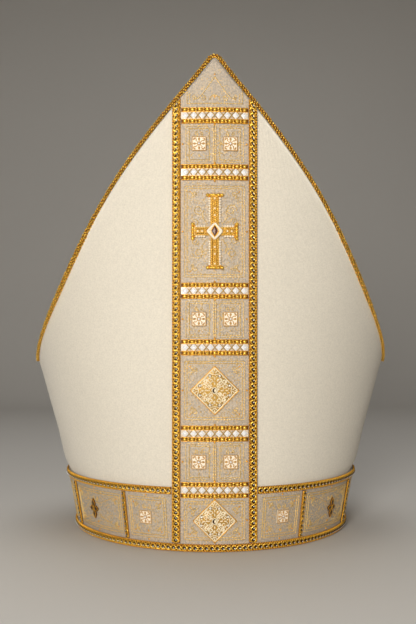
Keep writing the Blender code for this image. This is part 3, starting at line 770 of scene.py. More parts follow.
class Embroidery(Piece):
    """Piece of couched gold threads, all of one radius, that lie on the lamé."""

    def __init__(self, place=None):
        super().__init__(place)
        self.radius = bpy.context.scene.mitre_looks.thread_radius
        self.lift = 0.5 * self.radius - GAP

    def stitch(self, path, thickness=1.0):
        """Couch a thread along a flat path: it swells between its stitches."""
        path = even(path, STITCH_PITCH / 3.0)
        swell = 1.0 + 0.75 * np.cos(2.0 * np.pi * np.arange(len(path)) / 3.0)
        self.put(tube(raised(path, self.lift), thickness * self.radius * swell, 3), "thread")

    def beads(self, part, flat, size, kind="gold", lift=None):
        """Sew beads on at flat points."""
        flat = np.atleast_2d(flat)
        self.put(scatter(part, raised(flat, self.lift if lift is None else lift), size), kind)

    def sprinkle(self, seed, x0, x1, y0, y1, count):
        """Scatter specks of gold over a rectangle."""
        rng = np.random.default_rng(seed)
        flat = rng.uniform((x0, y0), (x1, y1), (count, 2))
        self.beads(SPECK, flat, rng.uniform(0.00020, 0.00042, (count, 1)), "thread")

    def double_frame(self, x0, x1, y0, y1, gap):
        """Couch two lines round a rectangle."""
        for inset in (0.0, gap):
            self.stitch(rectangle(x0 + inset, x1 - inset, y0 + inset, y1 - inset))

    def corner_scrolls(self, x0, x1, y0, y1, reach):
        """Couch a stem with two curls in each corner of a rectangle, with a bead."""
        for sx, x in ((1.0, x0), (-1.0, x1)):
            for sy, y in ((1.0, y0), (-1.0, y1)):
                self.stitch(line((x + sx * 0.0010, y + sy * 0.0010), (x + sx * reach, y + sy * reach)))
                start = 0.0 if sx < 0.0 else np.pi
                self.stitch(spiral(x + sx * 1.25 * reach, y + sy * 0.8 * reach, 0.42 * reach,
                                   start, sx * sy * 1.1))
                start = 0.5 * np.pi * (1.0 - sy) + np.pi
                self.stitch(spiral(x + sx * 0.8 * reach, y + sy * 1.3 * reach, 0.36 * reach,
                                   start, -sx * sy * 1.1))
                self.beads(SMALL_BEAD, (x + sx * 0.0012, y + sy * 0.0012), 0.00055)


# Pieces


def sheet_piece(outer, inner, u, v, kind):
    """Piece of one closed sheet, with u and v in metres for its weave."""
    uv = np.column_stack((u.ravel(), v.ravel()))
    piece = Piece()
    piece.put(closed_sheet(outer, inner), kind, uv=np.concatenate((uv, uv)))
    return piece


def panel_piece():
    """Front panel of cream cloth, with a welt along its edges."""
    low = np.linspace(0.0, SHOULDER_HEIGHT, 40)
    high = mix(SHOULDER_HEIGHT, PEAK_HEIGHT, np.linspace(0.0, 1.0, 70)[1:] ** 1.05)
    heights = np.concatenate((low, high))
    angle = edge_angle(heights)
    across = section(heights)[0]
    radius, narrow = 0.085, 0.012
    shrink = np.minimum(1.0, angle * radius / narrow)[:, None]
    from_edge = np.array([WELT_STEPS]) * shrink
    least_across = 0.095
    outer_angles = angle[:, None] - from_edge / np.maximum(least_across, across)[:, None]
    body = np.linspace(0.0, 1.0, 25)[:-1]
    half = np.concatenate((body[None] * outer_angles[:, -1:], outer_angles[:, ::-1]), axis=1)
    far = np.full((len(heights), len(body)), 1.0)
    distance = np.concatenate((far, from_edge[:, ::-1]), axis=1)
    turns = np.concatenate((-half[:, :0:-1], half), axis=1)
    distance = np.concatenate((distance[:, :0:-1], distance), axis=1)
    z = np.broadcast_to(heights[:, None], turns.shape)
    fade = 0.01
    above = np.clip((z - SHOULDER_HEIGHT + fade) / fade, 0.0, 1.0)
    welt = WELT_HEIGHT * np.exp(-((distance - WELT_MIDDLE) / WELT_SPREAD) ** 2) * above
    drop = -RIM_DROP * np.exp(-distance / RIM_REACH)
    reach = across * np.sin(angle)
    x = reach[:, None] * turns / np.maximum(angle[:, None], 1e-6)
    slack = PANEL_SLACK * np.sin(61.0 * x + 23.0 * z) * np.sin(47.0 * z - 1.0)
    outer = on_form(turns, z, welt + drop + slack)
    inner = on_form(turns, z, -PANEL_THICKNESS - 0.5 * drop)
    return sheet_piece(outer, inner, 0.1 * turns, z, "cream")


def crown_points(t, s, lift):
    """Points of the soft crown: t runs from side to side, s from back to front."""
    lowest = SHOULDER_HEIGHT + 2.0 * GUSSET_DROP
    highest = PEAK_HEIGHT - GUSSET_DROP

    def rim(t):
        z = mix(highest, lowest, np.abs(t) ** 1.12)
        seat = z - GUSSET_DROP
        angle = angle_at(horn_half_width(z), seat)
        clear = mix(GUSSET_SEAT, GUSSET_SHOULDER_SEAT, np.abs(t) ** 3)
        inward = PANEL_THICKNESS + clear + GUSSET_HALF_THICKNESS
        return on_form(np.sign(t) * angle, seat, -inward)

    def sheet(t, s):
        edge = rim(t)
        side = np.abs(s)
        valley_z = rim(np.array(1.0))[2] - GUSSET_DROP + GUSSET_VALLEY_RISE * (1.0 - t * t)
        swell = np.sin(np.pi * side) * (1.0 - np.abs(t))
        fold = 0.0022 * np.cos(5.0 * np.pi * t) + 0.0009 * np.sin(9.0 * np.pi * t + 2.0 * side)
        x = mix(t * GUSSET_VALLEY_END, edge[..., 0], side)
        y = edge[..., 1] * side * np.where(s < 0.0, 1.0, -1.0)
        z = mix(valley_z, edge[..., 2], side**1.3) + fold * swell
        return np.stack((x, y, z), axis=-1)

    step = 0.01
    along = sheet(np.minimum(t + step, 1.0), s) - sheet(np.maximum(t - step, -1.0), s)
    over = sheet(t, np.minimum(s + step, 1.0)) - sheet(t, np.maximum(s - step, -1.0))
    return sheet(t, s) + unit(np.cross(along, over)) * lift[..., None]


def crown_piece():
    """Soft cloth between the horns, in shallow folds, and its upper points."""
    t, s = np.meshgrid(np.linspace(-1.0, 1.0, 97), np.linspace(-1.0, 1.0, 65))
    lift = np.full(t.shape, 0.0004)
    half_width, half_length = 0.12, 0.15
    outer, inner = crown_points(t, s, lift), crown_points(t, s, -lift)
    return sheet_piece(outer, inner, t * half_width, s * half_length, "crown"), outer


def lame_column_piece():
    """Lamé column up the middle of the front, pointed under the peak."""
    columns, rows = 25, 150
    x = np.linspace(-COLUMN_EDGE, COLUMN_EDGE, columns)[None]
    straight = column_top(COLUMN_EDGE)
    share = np.linspace(0.0, 1.0, rows)[:, None]
    split = 0.86  # share of the rows below the point
    low = mix(GAP, straight, np.minimum(share / split, 1.0))
    high = (column_top(x) - straight) * np.clip((share - split) / (1.0 - split), 0.0, 1.0)
    z = low + high
    x = np.broadcast_to(x, z.shape)
    pucker = LAME_PUCKER * np.sin(420.0 * z) * np.sin(380.0 * x)
    angle = angle_at(x, z)
    outer = on_form(angle, z, GAP + STRIP_THICKNESS + pucker)
    return sheet_piece(outer, on_form(angle, z, GAP), x, z, "lame")


def lame_band_piece():
    """Lamé of the band's right side, from the front column round to the back one."""
    columns, rows = 150, 13
    z = np.linspace(GAP, BAND_HEIGHT - GAP, rows)[:, None]
    start = angle_at(COLUMN_EDGE + GAP, z)
    angle = mix(start, np.pi - start, np.linspace(0.0, 1.0, columns)[None])
    z = np.broadcast_to(z, angle.shape)
    outer = on_form(angle, z, GAP + STRIP_THICKNESS)
    return sheet_piece(outer, on_form(angle, z, GAP), 0.1 * angle, z, "lame")


def box_middle(node):
    """Middle of a CAD node's box and its sizes."""
    low, high = (np.array(corner, float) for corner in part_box(node))
    return 0.5 * (low + high), high - low


def cord_path():
    """Fine path of the front cord's middle line, from shoulder over the peak to shoulder."""
    heights = mix(SHOULDER_HEIGHT, PEAK_HEIGHT, np.linspace(0.0, 1.0, 260) ** 1.2)
    rims = on_form(edge_angle(heights), heights, -0.5 * PANEL_THICKNESS)
    run = np.gradient(rims, axis=0)
    across = on_form(edge_angle(heights), heights, 0.0) - rims
    off = unit(np.cross(across, run))
    off *= np.sign(off[:, 2:])
    side = rims + (CORD_RADIUS + GAP) * off
    side = side[side[:, 1] < -CORD_RADIUS]
    left = side * (-1.0, 1.0, 1.0)
    tip = side[-1] * (0.0, 1.0, 1.0) + (0.0, 0.0, 0.4 * side[-1][0])
    path = even(np.concatenate((left, [tip], side[::-1])), 0.5 * CORD_STEP)
    reach = 7
    window = np.hanning(2 * reach + 1)
    padded = np.pad(path, ((reach, reach), (0, 0)), "edge")
    smooth = np.stack([np.convolve(axis, window / window.sum(), "valid") for axis in padded.T], axis=-1)
    peak_reach = 40
    near_peak = np.abs(np.arange(len(path)) - len(path) // 2) < peak_reach
    return even(np.where(near_peak[:, None], smooth, path), CORD_STEP)


def cord_piece(strand_turn):
    """Twisted gold cord along the front horn's edge, and the inner cord near its shoulders."""
    piece = Piece()
    twisted(piece, cord_path(), strand_turn, CORD_RADIUS, 6)
    heights = np.linspace(SHOULDER_HEIGHT - 0.0010, INNER_CORD_TOP, 160)
    share = np.clip((INNER_CORD_TOP - heights) / INNER_CORD_FADE, 0.0, 1.0)
    reach = section(heights)[0] * np.sin(edge_angle(heights))
    inset = mix(-0.0004, 0.0017, share)
    lift = mix(-0.3, 0.8, share) * INNER_CORD_RADIUS
    right = on_form(angle_at(reach - inset, heights), heights, lift)
    for side in BOTH:
        inner = even(right * (side, 1.0, 1.0), 0.0005)
        twisted(piece, inner, 0.6 * strand_turn, INNER_CORD_RADIUS, 5)
    return piece


def bar_piece(z):
    """Crystal bar: two rails of gold beads and a row of cut stones under crossed threads."""
    piece = Piece(on_column(0.0, z))
    half, half_height = COLUMN_INNER - GAP, 0.0047
    rail, rail_edge = 0.0034, 0.00118
    stones = 8
    grid_x, grid_y = np.meshgrid(np.linspace(-half, half, stones + 1), (-half_height, half_height))
    ground = points_at(grid_x.ravel(), grid_y.ravel(), 0.0004)
    faces = [lattice(*grid_x.shape)]
    # The dark ground is painted shade; half hidden by the bed, it shows between the rails' beads.
    piece.put((ground, faces), "ground")
    piece.put((ground * (1.0, 0.5, 1.0) + (0.0, 0.0, 0.0002), faces), "bed")

    beads = int(2.0 * half / RAIL_PITCH)
    step = 2.0 * half / beads
    marks = step * (np.arange(beads) + 0.5) - half
    for side in BOTH:
        row = points_at(marks, side * rail, 0.0007)
        piece.put(scatter(FINE_BEAD, row, (0.00130, 0.00115, 0.00120)), "bright")
        for away in BOTH:
            knots = row[:-1] + (0.5 * step, 0.00062 * away, -0.0001)
            piece.put(scatter(BEAD, knots, (0.00098, 0.00062, 0.00074), 0.7 * away), "bright")
            fine = np.linspace(-half, half, 10 * beads + 1)
            edge = points_at(fine, side * rail + away * rail_edge, 0.00055)
            piece.put(tube(edge, 0.00024 * beaded(len(edge), 0.75, 1.15), 4), "gold")

    pitch = 2.0 * half / stones
    stone = cut_stone(ring_outline(4, 1.0, 1.0), ((1.0, 0.0), (1.0, 0.25), (0.22, 1.0)))
    middles = points_at(pitch * (np.arange(stones) + 0.5) - half, 0.0, 0.0005)
    piece.put(scatter(stone, middles, (0.00225, 0.00205, 0.00110)), "crystal", flat=True)
    small = cut_stone(ring_outline(3, 1.0, 1.0, 0.5 * np.pi), ((1.0, 0.0), (0.9, 0.5), (0.4, 1.0)))
    joins = pitch * np.arange(1, stones) - half
    reach_x, reach_y = 0.85 * 0.00195, 0.00195
    for side, turn in zip(BOTH, (0.0, np.pi)):
        fill = points_at(joins, side * 0.00140, 0.0005)
        piece.put(scatter(small, fill, (0.00120, 0.00090, 0.00060), turn), "bed", flat=True)
        for x in joins:
            across = (x - reach_x, x, x + reach_x)
            thread = points_at(across, (-side * reach_y, 0.0, side * reach_y), (0.0009, 0.0013, 0.0009))
            piece.put(tube(even(thread, 0.0006), 0.00025), "relief")
    return piece


def cross_piece(z, height):
    """Gold cross of bullion thread with capped ends, edged in white beads, and its stone."""
    piece = Piece(on_column(0.0, z))
    tall, wide, arm = 0.5 * height, CROSS_HALF_WIDTH, 0.0025
    cap, cap_half = 0.0019, 0.0043
    face = 0.0009
    for half_x, half_y in ((arm, tall - 0.5 * cap), (wide - 0.5 * cap, arm)):
        x, y = np.meshgrid(np.linspace(-half_x, half_x, 5), np.linspace(-half_y, half_y, 3))
        low = np.stack((x, y, 0.0 * x), axis=-1)
        piece.put(closed_sheet(low + (0.0, 0.0, face), low), "relief", flat=True)

    for upright, end_at in ((True, tall), (False, wide)):
        order = (0, 1, 2) if upright else (1, 0, 2)
        reach = end_at - cap
        count = int(2.0 * reach / BULLION_STEP)
        marks = (np.arange(count) + 0.5) * 2.0 * reach / count - reach
        marks = marks[np.abs(marks) > 0.0035]
        pearls = np.arange(0.0062, reach, 0.00150)
        for side in BOTH:
            lean = side * 0.7 * np.sign(marks)
            turn = lean if upright else 0.5 * np.pi - lean
            for away, shift in ((0.0006, 0.0), (0.0018, 0.0006)):
                bullion = points_at(side * away, marks + shift, face)[:, order]
                piece.put(scatter(BEAD, bullion, (0.00084, 0.00048, 0.00090), turn), "bright")
            # Dark specks between the bullion beads: painted shade.
            painted_shade_specks = points_at(side * 0.0013, marks + 0.0002, 0.0012)[:, order]
            piece.put(scatter(SPECK, painted_shade_specks, 0.00034), "ground")
            for end in BOTH:
                row = points_at(side * (arm + 0.00055), end * pearls, 0.0008)[:, order]
                piece.put(scatter(BEAD, row, 0.00078), "white")
        for end in BOTH:
            along_cap = np.linspace(-cap_half, cap_half, 9)
            row = points_at(along_cap, end * (end_at - 0.5 * cap), face)[:, order]
            piece.put(tube(row[::4] * (1.0, 1.0, 0.8), 0.00085, 6), "gold")
            piece.put(scatter(BEAD, row[::2], (0.00105, 0.00105, 0.00090)), "bright")
            piece.put(scatter(BEAD, row[::8], (0.00115, 0.00115, 0.00110)), "bright")
            for side in BOTH:
                out = end * (end_at - np.array((0.0036, 0.0016)))
                brace = points_at(side * np.array((0.0024, 0.0036)), out, 0.0008)[:, order]
                piece.put(tube(even(brace, 0.0008), 0.00038), "gold")
        marks = np.array((0.42, 0.60, 0.86)) * tall if upright else np.array((0.0074, 0.0100))
        for end in BOTH:
            dots = points_at(0.0, end * marks, 0.0016)[:, order]
            piece.put(scatter(FINE_BEAD, dots, (0.00062, 0.00062, 0.00050)), "white")

    levels = ((1.0, 0.0008), (1.0, 0.0016), (0.92, 0.0018))
    piece.put(cut_stone(ring_outline(4, 0.0047, 0.0052), levels), "white", flat=True)
    for half_width, half_height, radius, lift, kind in (
        # half width, half height, radius, lift, kind
        (0.0042, 0.0046, 0.00078, 0.0017, "white"),
        (0.0024, 0.0038, 0.00028, 0.0020, "gold"),
    ):
        ring = raised(closed_line(ring_outline(4, half_width, half_height)), lift)
        piece.put(tube(even(ring, 0.0005), radius, 6), kind)
    levels = ((1.0, 0.0017), (1.0, 0.0023), (0.62, 0.0028), (0.3, 0.0029))
    piece.put(cut_stone(ring_outline(4, 0.0018, 0.0035), levels), "amber", flat=True)
    return piece


def rosette_piece(place, size):
    """Square rosette: white plate, gold frame, eight petals and a white middle bead."""
    piece = Piece(place)
    k = size / ROSETTE_SIZE
    square = 0.5 * size * line((1, 1), (-1, 1), (-1, -1), (1, -1))
    piece.put(cut_stone(square, ((1.0, 0.0), (1.0, 0.0006), (0.94, 0.0008))), "white", flat=True)
    border = even(raised(0.95 * closed_line(square), 0.0008), 0.0004)
    piece.put(tube(border, 0.00028 * k * beaded(len(border), 0.85, 1.15)), "petal")
    lift = 0.0009
    for i in range(8):
        turn = 0.25 * np.pi * i
        out = k * np.array((np.cos(turn), np.sin(turn)))
        if i % 2:
            curl = spiral(*(0.00355 * out), 0.00085 * k, turn + np.pi, 0.75, 0.8)
            piece.put(tube(raised(curl, lift), 0.00030 * k), "petal")
            piece.put(scatter(BEAD, points_at(*(0.0040 * out), lift), 0.00045 * k), "petal")
        else:
            petal = (0.00095 * k, 0.00070 * k, 0.00050)
            piece.put(scatter(BEAD, points_at(*(0.00265 * out), lift), petal, turn), "petal")
        stem = raised(line(0.0010 * out, 0.0027 * out), lift)
        piece.put(tube(even(stem, 0.0005), 0.00022 * k), "petal")
    ring = raised(ring_outline(12, 0.00088 * k, 0.00088 * k), 0.0011)
    piece.put(tube(ring, 0.00024 * k, closed=True), "petal")
    bead = (0.00072 * k, 0.00072 * k, 0.00060)
    piece.put(scatter(FINE_BEAD, (0.0, 0.0, 0.0012), bead), "crystal")
    return piece


def lozenge_piece(z, half):
    """Lozenge of scrollwork: gold rim, leaf points, paired scrolls, pearls, middle stone."""
    piece = Piece(on_column(0.0, z))
    tall, wide = half, half * 0.985
    corners = line((wide, 0.0), (0.0, tall), (-wide, 0.0), (0.0, -tall))
    steps = np.linspace(0.0, 1.0, 9)[:-1, None]
    outline = np.vstack([mix(corners[i], corners[(i + 1) % 4], steps) for i in range(4)])
    levels = ((1.0, 0.0), (0.995, 0.0006), (0.96, 0.0008), (0.66, 0.0009), (0.33, 0.0010))
    piece.put(cut_stone(outline, levels), "relief")
    for share, radius, lift, kind in (
        # share of the outline, radius, lift, kind
        (0.975, 0.00028, 0.0008, "gold_cord"),
        (0.920, 0.00036, 0.0009, "scroll"),
    ):
        rim = even(raised(closed_line(corners) * share, lift), 0.0005)
        piece.put(tube(rim, radius * beaded(len(rim), 0.86, 1.14)), kind)

    scale = half / LOZENGE_HALF
    lift = 0.0011
    for quarter in range(4):
        turn = 0.5 * np.pi * quarter

        def around(flat):
            return rotated(np.atleast_2d(flat) * scale, turn)

        def cord(path, radius):
            piece.put(tube(raised(around(even(path, 0.0006)), lift), radius), "scroll")

        def leaf(x, y, length, width, angle):
            spot = raised(around((x, y)), lift)
            piece.put(scatter(BEAD, spot, (length, width, 0.00060), turn + angle), "scroll")

        cord(line((-0.0026, 0.0091), (0.0, 0.0086), (0.0026, 0.0091)), 0.000288)
        for y, length in ((0.0112, 0.001104), (0.0064, 0.001104), (0.0038, 0.001012)):
            leaf(0.0, y, length, 0.000440, 0.5 * np.pi)
        for side in BOTH:
            for x, y, curl, start, turns, radius in (
                # across, up, reach, start, turns, radius
                (0.0021, 0.0055, 0.0015, 0.50 * np.pi, -1.2, 0.000320),
                (0.0049, 0.0051, 0.0014, 0.75 * np.pi, 1.2, 0.000320),
                (0.0019, 0.0025, 0.0012, 0.0, 1.1, 0.000304),
            ):
                cord(spiral(side * x, y, curl, start, side * turns, 0.3), radius)
            for x, y, length, width, angle, lean in (
                # across, up, length, width, angle, lean outward
                (0.0008, 0.0100, 0.001104, 0.0004224, 0.5 * np.pi, -0.6),
                (0.0042, 0.0026, 0.001196, 0.0004224, 0.0, 0.25 * np.pi),
                (0.0045, 0.0073, 0.000828, 0.0003872, 0.5 * np.pi, 0.25 * np.pi),
                (0.0010, 0.0075, 0.000736, 0.0003520, 0.5 * np.pi, -0.2 * np.pi),
            ):
                leaf(side * x, y, length, width, angle + side * lean)
        pearls = raised(around([(-0.0026, 0.0079), (0.0026, 0.0079)]), 0.0012)
        # A dark disc under each pearl: a ring of painted shade round it.
        piece.put(scatter(FINE_BEAD, pearls - (0.0, 0.0, 0.0002), (0.00108, 0.00108, 0.00030)), "ground")
        piece.put(scatter(FINE_BEAD, pearls, (0.00088, 0.00088, 0.00080)), "pearl")
        piece.put(scatter(BEAD, raised(around((0.0036, 0.0036)), 0.0012), 0.00058), "scroll")

    rng = np.random.default_rng(11)
    spots = rng.uniform(-1.0, 1.0, (520, 2))
    spots = spots[np.abs(spots).sum(axis=1) < 0.84]
    grains = raised(spots * (wide, tall), lift)
    sizes = rng.uniform(0.00026, 0.00048, len(spots))[:, None] * (1.0, 1.0, 0.9)
    for first, kind in enumerate(("gold_cord", "white")):
        piece.put(scatter(SMALL_BEAD, grains[first::2], sizes[first::2]), kind)
    ring = raised(ring_outline(16, 0.0015, 0.0018), 0.0015)
    piece.put(tube(ring, 0.00034, closed=True), "scroll")
    piece.put(scatter(FINE_BEAD, (-0.0004, 0.0, 0.0013), (0.00130, 0.00160, 0.00080)), "gem")
    piece.put(scatter(FINE_BEAD, (0.0003, 0.0, 0.0017), (0.00090, 0.00130, 0.00080)), "scroll")
    return piece


def motif_piece(angle, z):
    """Four dark cut stones in gold settings, meeting in the middle."""
    piece = Piece(on_band(angle, z))
    half_width, middle_gap = 0.0019, 0.0003
    for i, length in enumerate((0.0042, 0.0062, 0.0042, 0.0062)):
        turn = 0.5 * np.pi * i
        reach = 0.5 * length
        outline = rotated(line((-reach, 0.0), (0.0, -half_width), (reach, 0.0), (0.0, half_width)), turn)
        offset = (reach + middle_gap) * np.array((math.cos(turn), math.sin(turn), 0.0))
        for share, levels, kind in (
            # share of the outline, levels, kind
            (1.00, ((1.0, 0.0), (1.0, 0.0006), (0.9, 0.0008)), "ground"),
            (0.88, ((1.0, 0.0007), (0.9, 0.0010), (0.4, 0.0012)), "smoke"),
        ):
            points, faces = cut_stone(share * outline, levels)
            piece.put((points + offset, faces), kind, flat=True)
        setting = raised(0.92 * closed_line(outline), 0.0009) + offset
        piece.put(tube(even(setting, 0.0005), 0.00017), "gold")
    piece.put(scatter(BEAD, (0.0, 0.0, 0.0009), 0.0005), "bright")
    return piece


def rosette_field(piece, low, high):
    """Threads of a column field that holds two rosettes: frames, a middle seam and curls."""
    middle = 0.5 * (low + high)
    for side in BOTH:
        piece.stitch(rectangle(0.0031, 0.0152, low + 0.0026, high - 0.0028) * (side, 1.0))
        outer = rectangle(0.0040, 0.0172, low + 0.0012, high - 0.0014)[:-1]
        piece.stitch(outer * (side, 1.0), 0.8)
        piece.stitch(line((side * 0.0006, low + 0.0012), (side * 0.0006, high - 0.0012)), 1.3)
        x = side * 0.0093
        for sign in BOTH:
            piece.stitch(spiral(x + sign * 0.0013, high - 0.0062, 0.0012, 0.5 * np.pi, -sign * 1.1))
            piece.stitch(spiral(x + sign * 0.0056, middle, 0.0011, 0.5 * np.pi, sign * 1.2))
        drops = [(x, low + 0.0052), (x, low + 0.0013), (x, high - 0.0013)]
        piece.beads(SMALL_BEAD, drops, (0.00050, 0.00080, 0.00035), "thread")


def cross_field(piece, middle):
    """Threads round the cross: two curls and a bent stem in each quarter."""
    for sx in BOTH:
        for sy in BOTH:
            x, y = sx * 0.0098, middle + sy * 0.0130
            piece.stitch(spiral(x, y, 0.0034, 0.5 * np.pi * (1.0 - sy), sx * sy * 1.4))
            piece.stitch(spiral(x + sx * 0.0020, y - sy * 0.0072, 0.0024, 0.5 * np.pi * (1.0 + sy),
                                -sx * sy * 1.3))
            stem = line((0.0045, 0.0045), (0.0075, 0.0085), (0.0066, 0.0130))
            piece.stitch(stem * (sx, sy) + (0.0, middle))


def peak_field(piece, base):
    """Threads under the peak: a bent gable, posts, curls and a small arch."""
    apex = base + 0.0186
    piece.stitch(line((-0.0165, base + 0.0026), (0.0165, base + 0.0026)))
    gable = line((0.0128, 0.0046), (0.0098, 0.0058), (0.0070, 0.0086), (0.0036, 0.0134), (0.0, 0.0186))
    for side in BOTH:
        piece.stitch((gable + (0.0, base)) * (side, 1.0))
        for x, top in ((0.0149, 0.0085), (0.0165, 0.0103)):
            piece.stitch(line((side * x, base + 0.0026), (side * x, base + top)))
        for x, y, reach, turns in ((0.0068, 0.0056, 0.0018, 1.2), (0.0120, 0.0064, 0.0014, -1.2)):
            piece.stitch(spiral(side * x, base + y, reach, 0.5 * np.pi, side * turns))
    piece.stitch(spiral(0.0, base + 0.0045, 0.0030, 0.0, 0.5, 1.0), 1.1)
    piece.beads(BEAD, [(0.0, base + 0.0066), (0.0, apex + 0.0014)], 0.00052)


def column_embroidery():
    """Couched gold threads in the column's fields and under its peak."""
    piece = Embroidery(on_lame)
    bar_half, frame_half, scroll_inset = 0.0048, 0.0178, 0.0020
    bars = [box_middle(f"crystal_bar_front_{i}")[0][2] for i in BAR_NUMBERS]
    edges = [BASE_BRAID_WIDTH + GAP] + [z for bar in bars for z in (bar - bar_half, bar + bar_half)]
    for i, (low, high) in enumerate(zip(edges[0::2], edges[1::2])):
        middle = 0.5 * (low + high)
        if i in ROSETTE_FIELDS:
            rosette_field(piece, low, high)
        else:
            margin = 0.0022 if high - low < 0.030 else 0.0036
            y0, y1 = low + margin, high - margin
            piece.double_frame(-frame_half, frame_half, y0, y1, 0.0014)
            piece.corner_scrolls(scroll_inset - frame_half, frame_half - scroll_inset, y0 + scroll_inset,
                                 y1 - scroll_inset, 0.0034)
        piece.sprinkle(i, -0.0165, 0.0165, low + 0.0012, high - 0.0012, int(COLUMN_SPECKS * (high - low)))
        nubs = [(0.0, low + 0.0006), (0.0, high - 0.0006), (-0.0191, middle), (0.0191, middle)]
        piece.beads(BEAD, nubs, (0.00062, 0.00062, 0.00050), lift=0.0002)
        if i == CROSS_FIELD:
            cross_field(piece, middle)
    peak_field(piece, edges[-1])
    return piece


def band_embroidery(front):
    """Couched gold threads in the band's fields, on the right side's front or back quarter."""
    piece = Embroidery()
    z0 = 0.5 * (BASE_BRAID_WIDTH + BAND_HEIGHT - BAND_BRAID_WIDTH)
    low = BASE_BRAID_WIDTH - z0 + 0.0028
    high = BAND_HEIGHT - BAND_BRAID_WIDTH - z0 - 0.0028
    column = float(angle_at(COLUMN_HALF_WIDTH, z0))
    stops = (column, *DIVIDER_ANGLES.values(), 0.5 * np.pi)
    inset, scroll_inset = 0.0036, 0.0022
    for i, (start, end) in enumerate(zip(stops, stops[1:])):
        if not front:
            start, end = np.pi - end, np.pi - start
        piece.place, length = round_band(start, end, z0)
        x0, x1 = inset, length - inset * (1.0 if i < 2 else 0.3)
        if i == 2 and not front:
            x0, x1 = 0.3 * inset, length - inset
        middle = 0.5 * (x0 + x1)
        piece.double_frame(x0, x1, low, high, 0.0016)
        piece.corner_scrolls(x0 + scroll_inset, x1 - scroll_inset, low + scroll_inset,
                             high - scroll_inset, 0.0028)
        for side in BOTH:
            piece.stitch(spiral(middle + side * 0.0016, high - 0.0058, 0.0015, 0.5 * np.pi, -side * 1.1))
        piece.sprinkle(20 + i, x0, x1, low, high, int(BAND_SPECKS * (x1 - x0)))
        if i:
            for side, x in ((1.0, x0), (-1.0, x1)):
                for y in (low, high):
                    ray = line((x + side * 0.0020, 0.86 * y), (middle - side * 0.0030, 0.30 * y))
                    piece.stitch(ray, 0.8)
        spots = [(middle, high + 0.0016), (middle, low - 0.0016), (middle, low + 0.0036)]
        piece.beads(SMALL_BEAD, spots, (0.00060, 0.00080, 0.00040))
    return piece


# The add-on


class MitreLooks(PropertyGroup):
    """Colours and fine sizes of the mitre."""

    cream: FloatVectorProperty(name="Cream cloth", description="Colour of the horns' cloth",
                               subtype="COLOR", default=(0.815, 0.755, 0.640))
    crown: FloatVectorProperty(name="Crown cloth", description="Colour of the soft cloth between the horns",
                               subtype="COLOR", default=(0.780, 0.715, 0.600))
    lame: FloatVectorProperty(name="Lamé", description="Colour of the column's and band's cloth",
                              subtype="COLOR", default=(0.530, 0.450, 0.360))
    # Painted glint: colour of the gold specks that stand for light caught by the lamé's metal threads.
    lame_glint: FloatVectorProperty(name="Lamé glint", description="Colour of the lamé's metal threads",
                                    subtype="COLOR", default=(0.800, 0.560, 0.240))
    gold: FloatVectorProperty(name="Gold", description="Colour of the gold thread",
                              subtype="COLOR", default=(1.000, 0.510, 0.040))
    bright_gold: FloatVectorProperty(name="Bright gold", description="Colour of polished beads",
                                     subtype="COLOR", default=(1.000, 0.620, 0.085))
    cord: FloatVectorProperty(name="Edge cord", description="Colour of the cords on the horns' edges",
                              subtype="COLOR", default=(0.900, 0.460, 0.040))
    # Painted shade: this dark brown fills the gaps between strands, beads and stones, where shade falls.
    gold_ground: FloatVectorProperty(name="Braid ground", description="Colour deep in the braids",
                                     subtype="COLOR", default=(0.150, 0.047, 0.002))
    thread: FloatVectorProperty(name="Embroidery", description="Colour of the couched threads",
                                subtype="COLOR", default=(0.980, 0.700, 0.270))
    scroll: FloatVectorProperty(name="Filigree", description="Colour of the pale scrollwork",
                                subtype="COLOR", default=(0.980, 0.850, 0.600))
    gem: FloatVectorProperty(name="Dark stones", description="Colour of the braids' dark stones",
                             subtype="COLOR", default=(0.040, 0.012, 0.002))
    crystal: FloatVectorProperty(name="Crystal", description="Colour of the bars' cut stones",
                                 subtype="COLOR", default=(0.930, 0.930, 0.930))
    bed: FloatVectorProperty(name="Stone bed", description="Colour under the bars' cut stones",
                             subtype="COLOR", default=(0.700, 0.580, 0.430))
    smoke: FloatVectorProperty(name="Smoky stones", description="Colour of the band motifs' stones",
                               subtype="COLOR", default=(0.035, 0.014, 0.004))
    relief: FloatVectorProperty(name="Filigree ground", description="Colour under the scrollwork",
                                subtype="COLOR", default=(0.500, 0.300, 0.065))
    petal: FloatVectorProperty(name="Petals", description="Colour of the rosettes' petals",
                               subtype="COLOR", default=(0.640, 0.370, 0.120))
    pearl: FloatVectorProperty(name="Pearls", description="Colour of the small pearls",
                               subtype="COLOR", default=(0.860, 0.790, 0.670))
    white_bead: FloatVectorProperty(name="White beads", description="Colour of the white beads and plates",
                                    subtype="COLOR", default=(0.970, 0.860, 0.680))
    amber: FloatVectorProperty(name="Amber", description="Colour of the cross's stone",
                               subtype="COLOR", default=(0.150, 0.050, 0.025))
    weave_pitch: FloatProperty(name="Weave pitch", description="Distance between the cloth's threads",
                               default=0.00055, unit="LENGTH")
    lame_pitch: FloatProperty(name="Lamé pitch", description="Distance between the lamé's threads",
                              default=0.00045, unit="LENGTH")
    thread_radius: FloatProperty(name="Couched thread", description="Radius of the embroidery's threads",
                                 default=0.00030, unit="LENGTH")
    braid_unit: FloatProperty(name="Braid unit", description="Length of one crossing of the braids",
                              default=0.0033, unit="LENGTH")
    cord_turn: FloatProperty(name="Cord turn", description="Length of one turn of the edge cords",
                             default=0.0054, unit="LENGTH")


class MITRE_OT_panels(Operator):
    """Make the two horns' cream cloth"""

    bl_idname = "mitre.panels"
    bl_label = "Cream panels"

    def execute(self, context):
        dress_both(panel_piece(), "cream_cloth", "{}_cloth", "{}_panel")
        return {"FINISHED"}


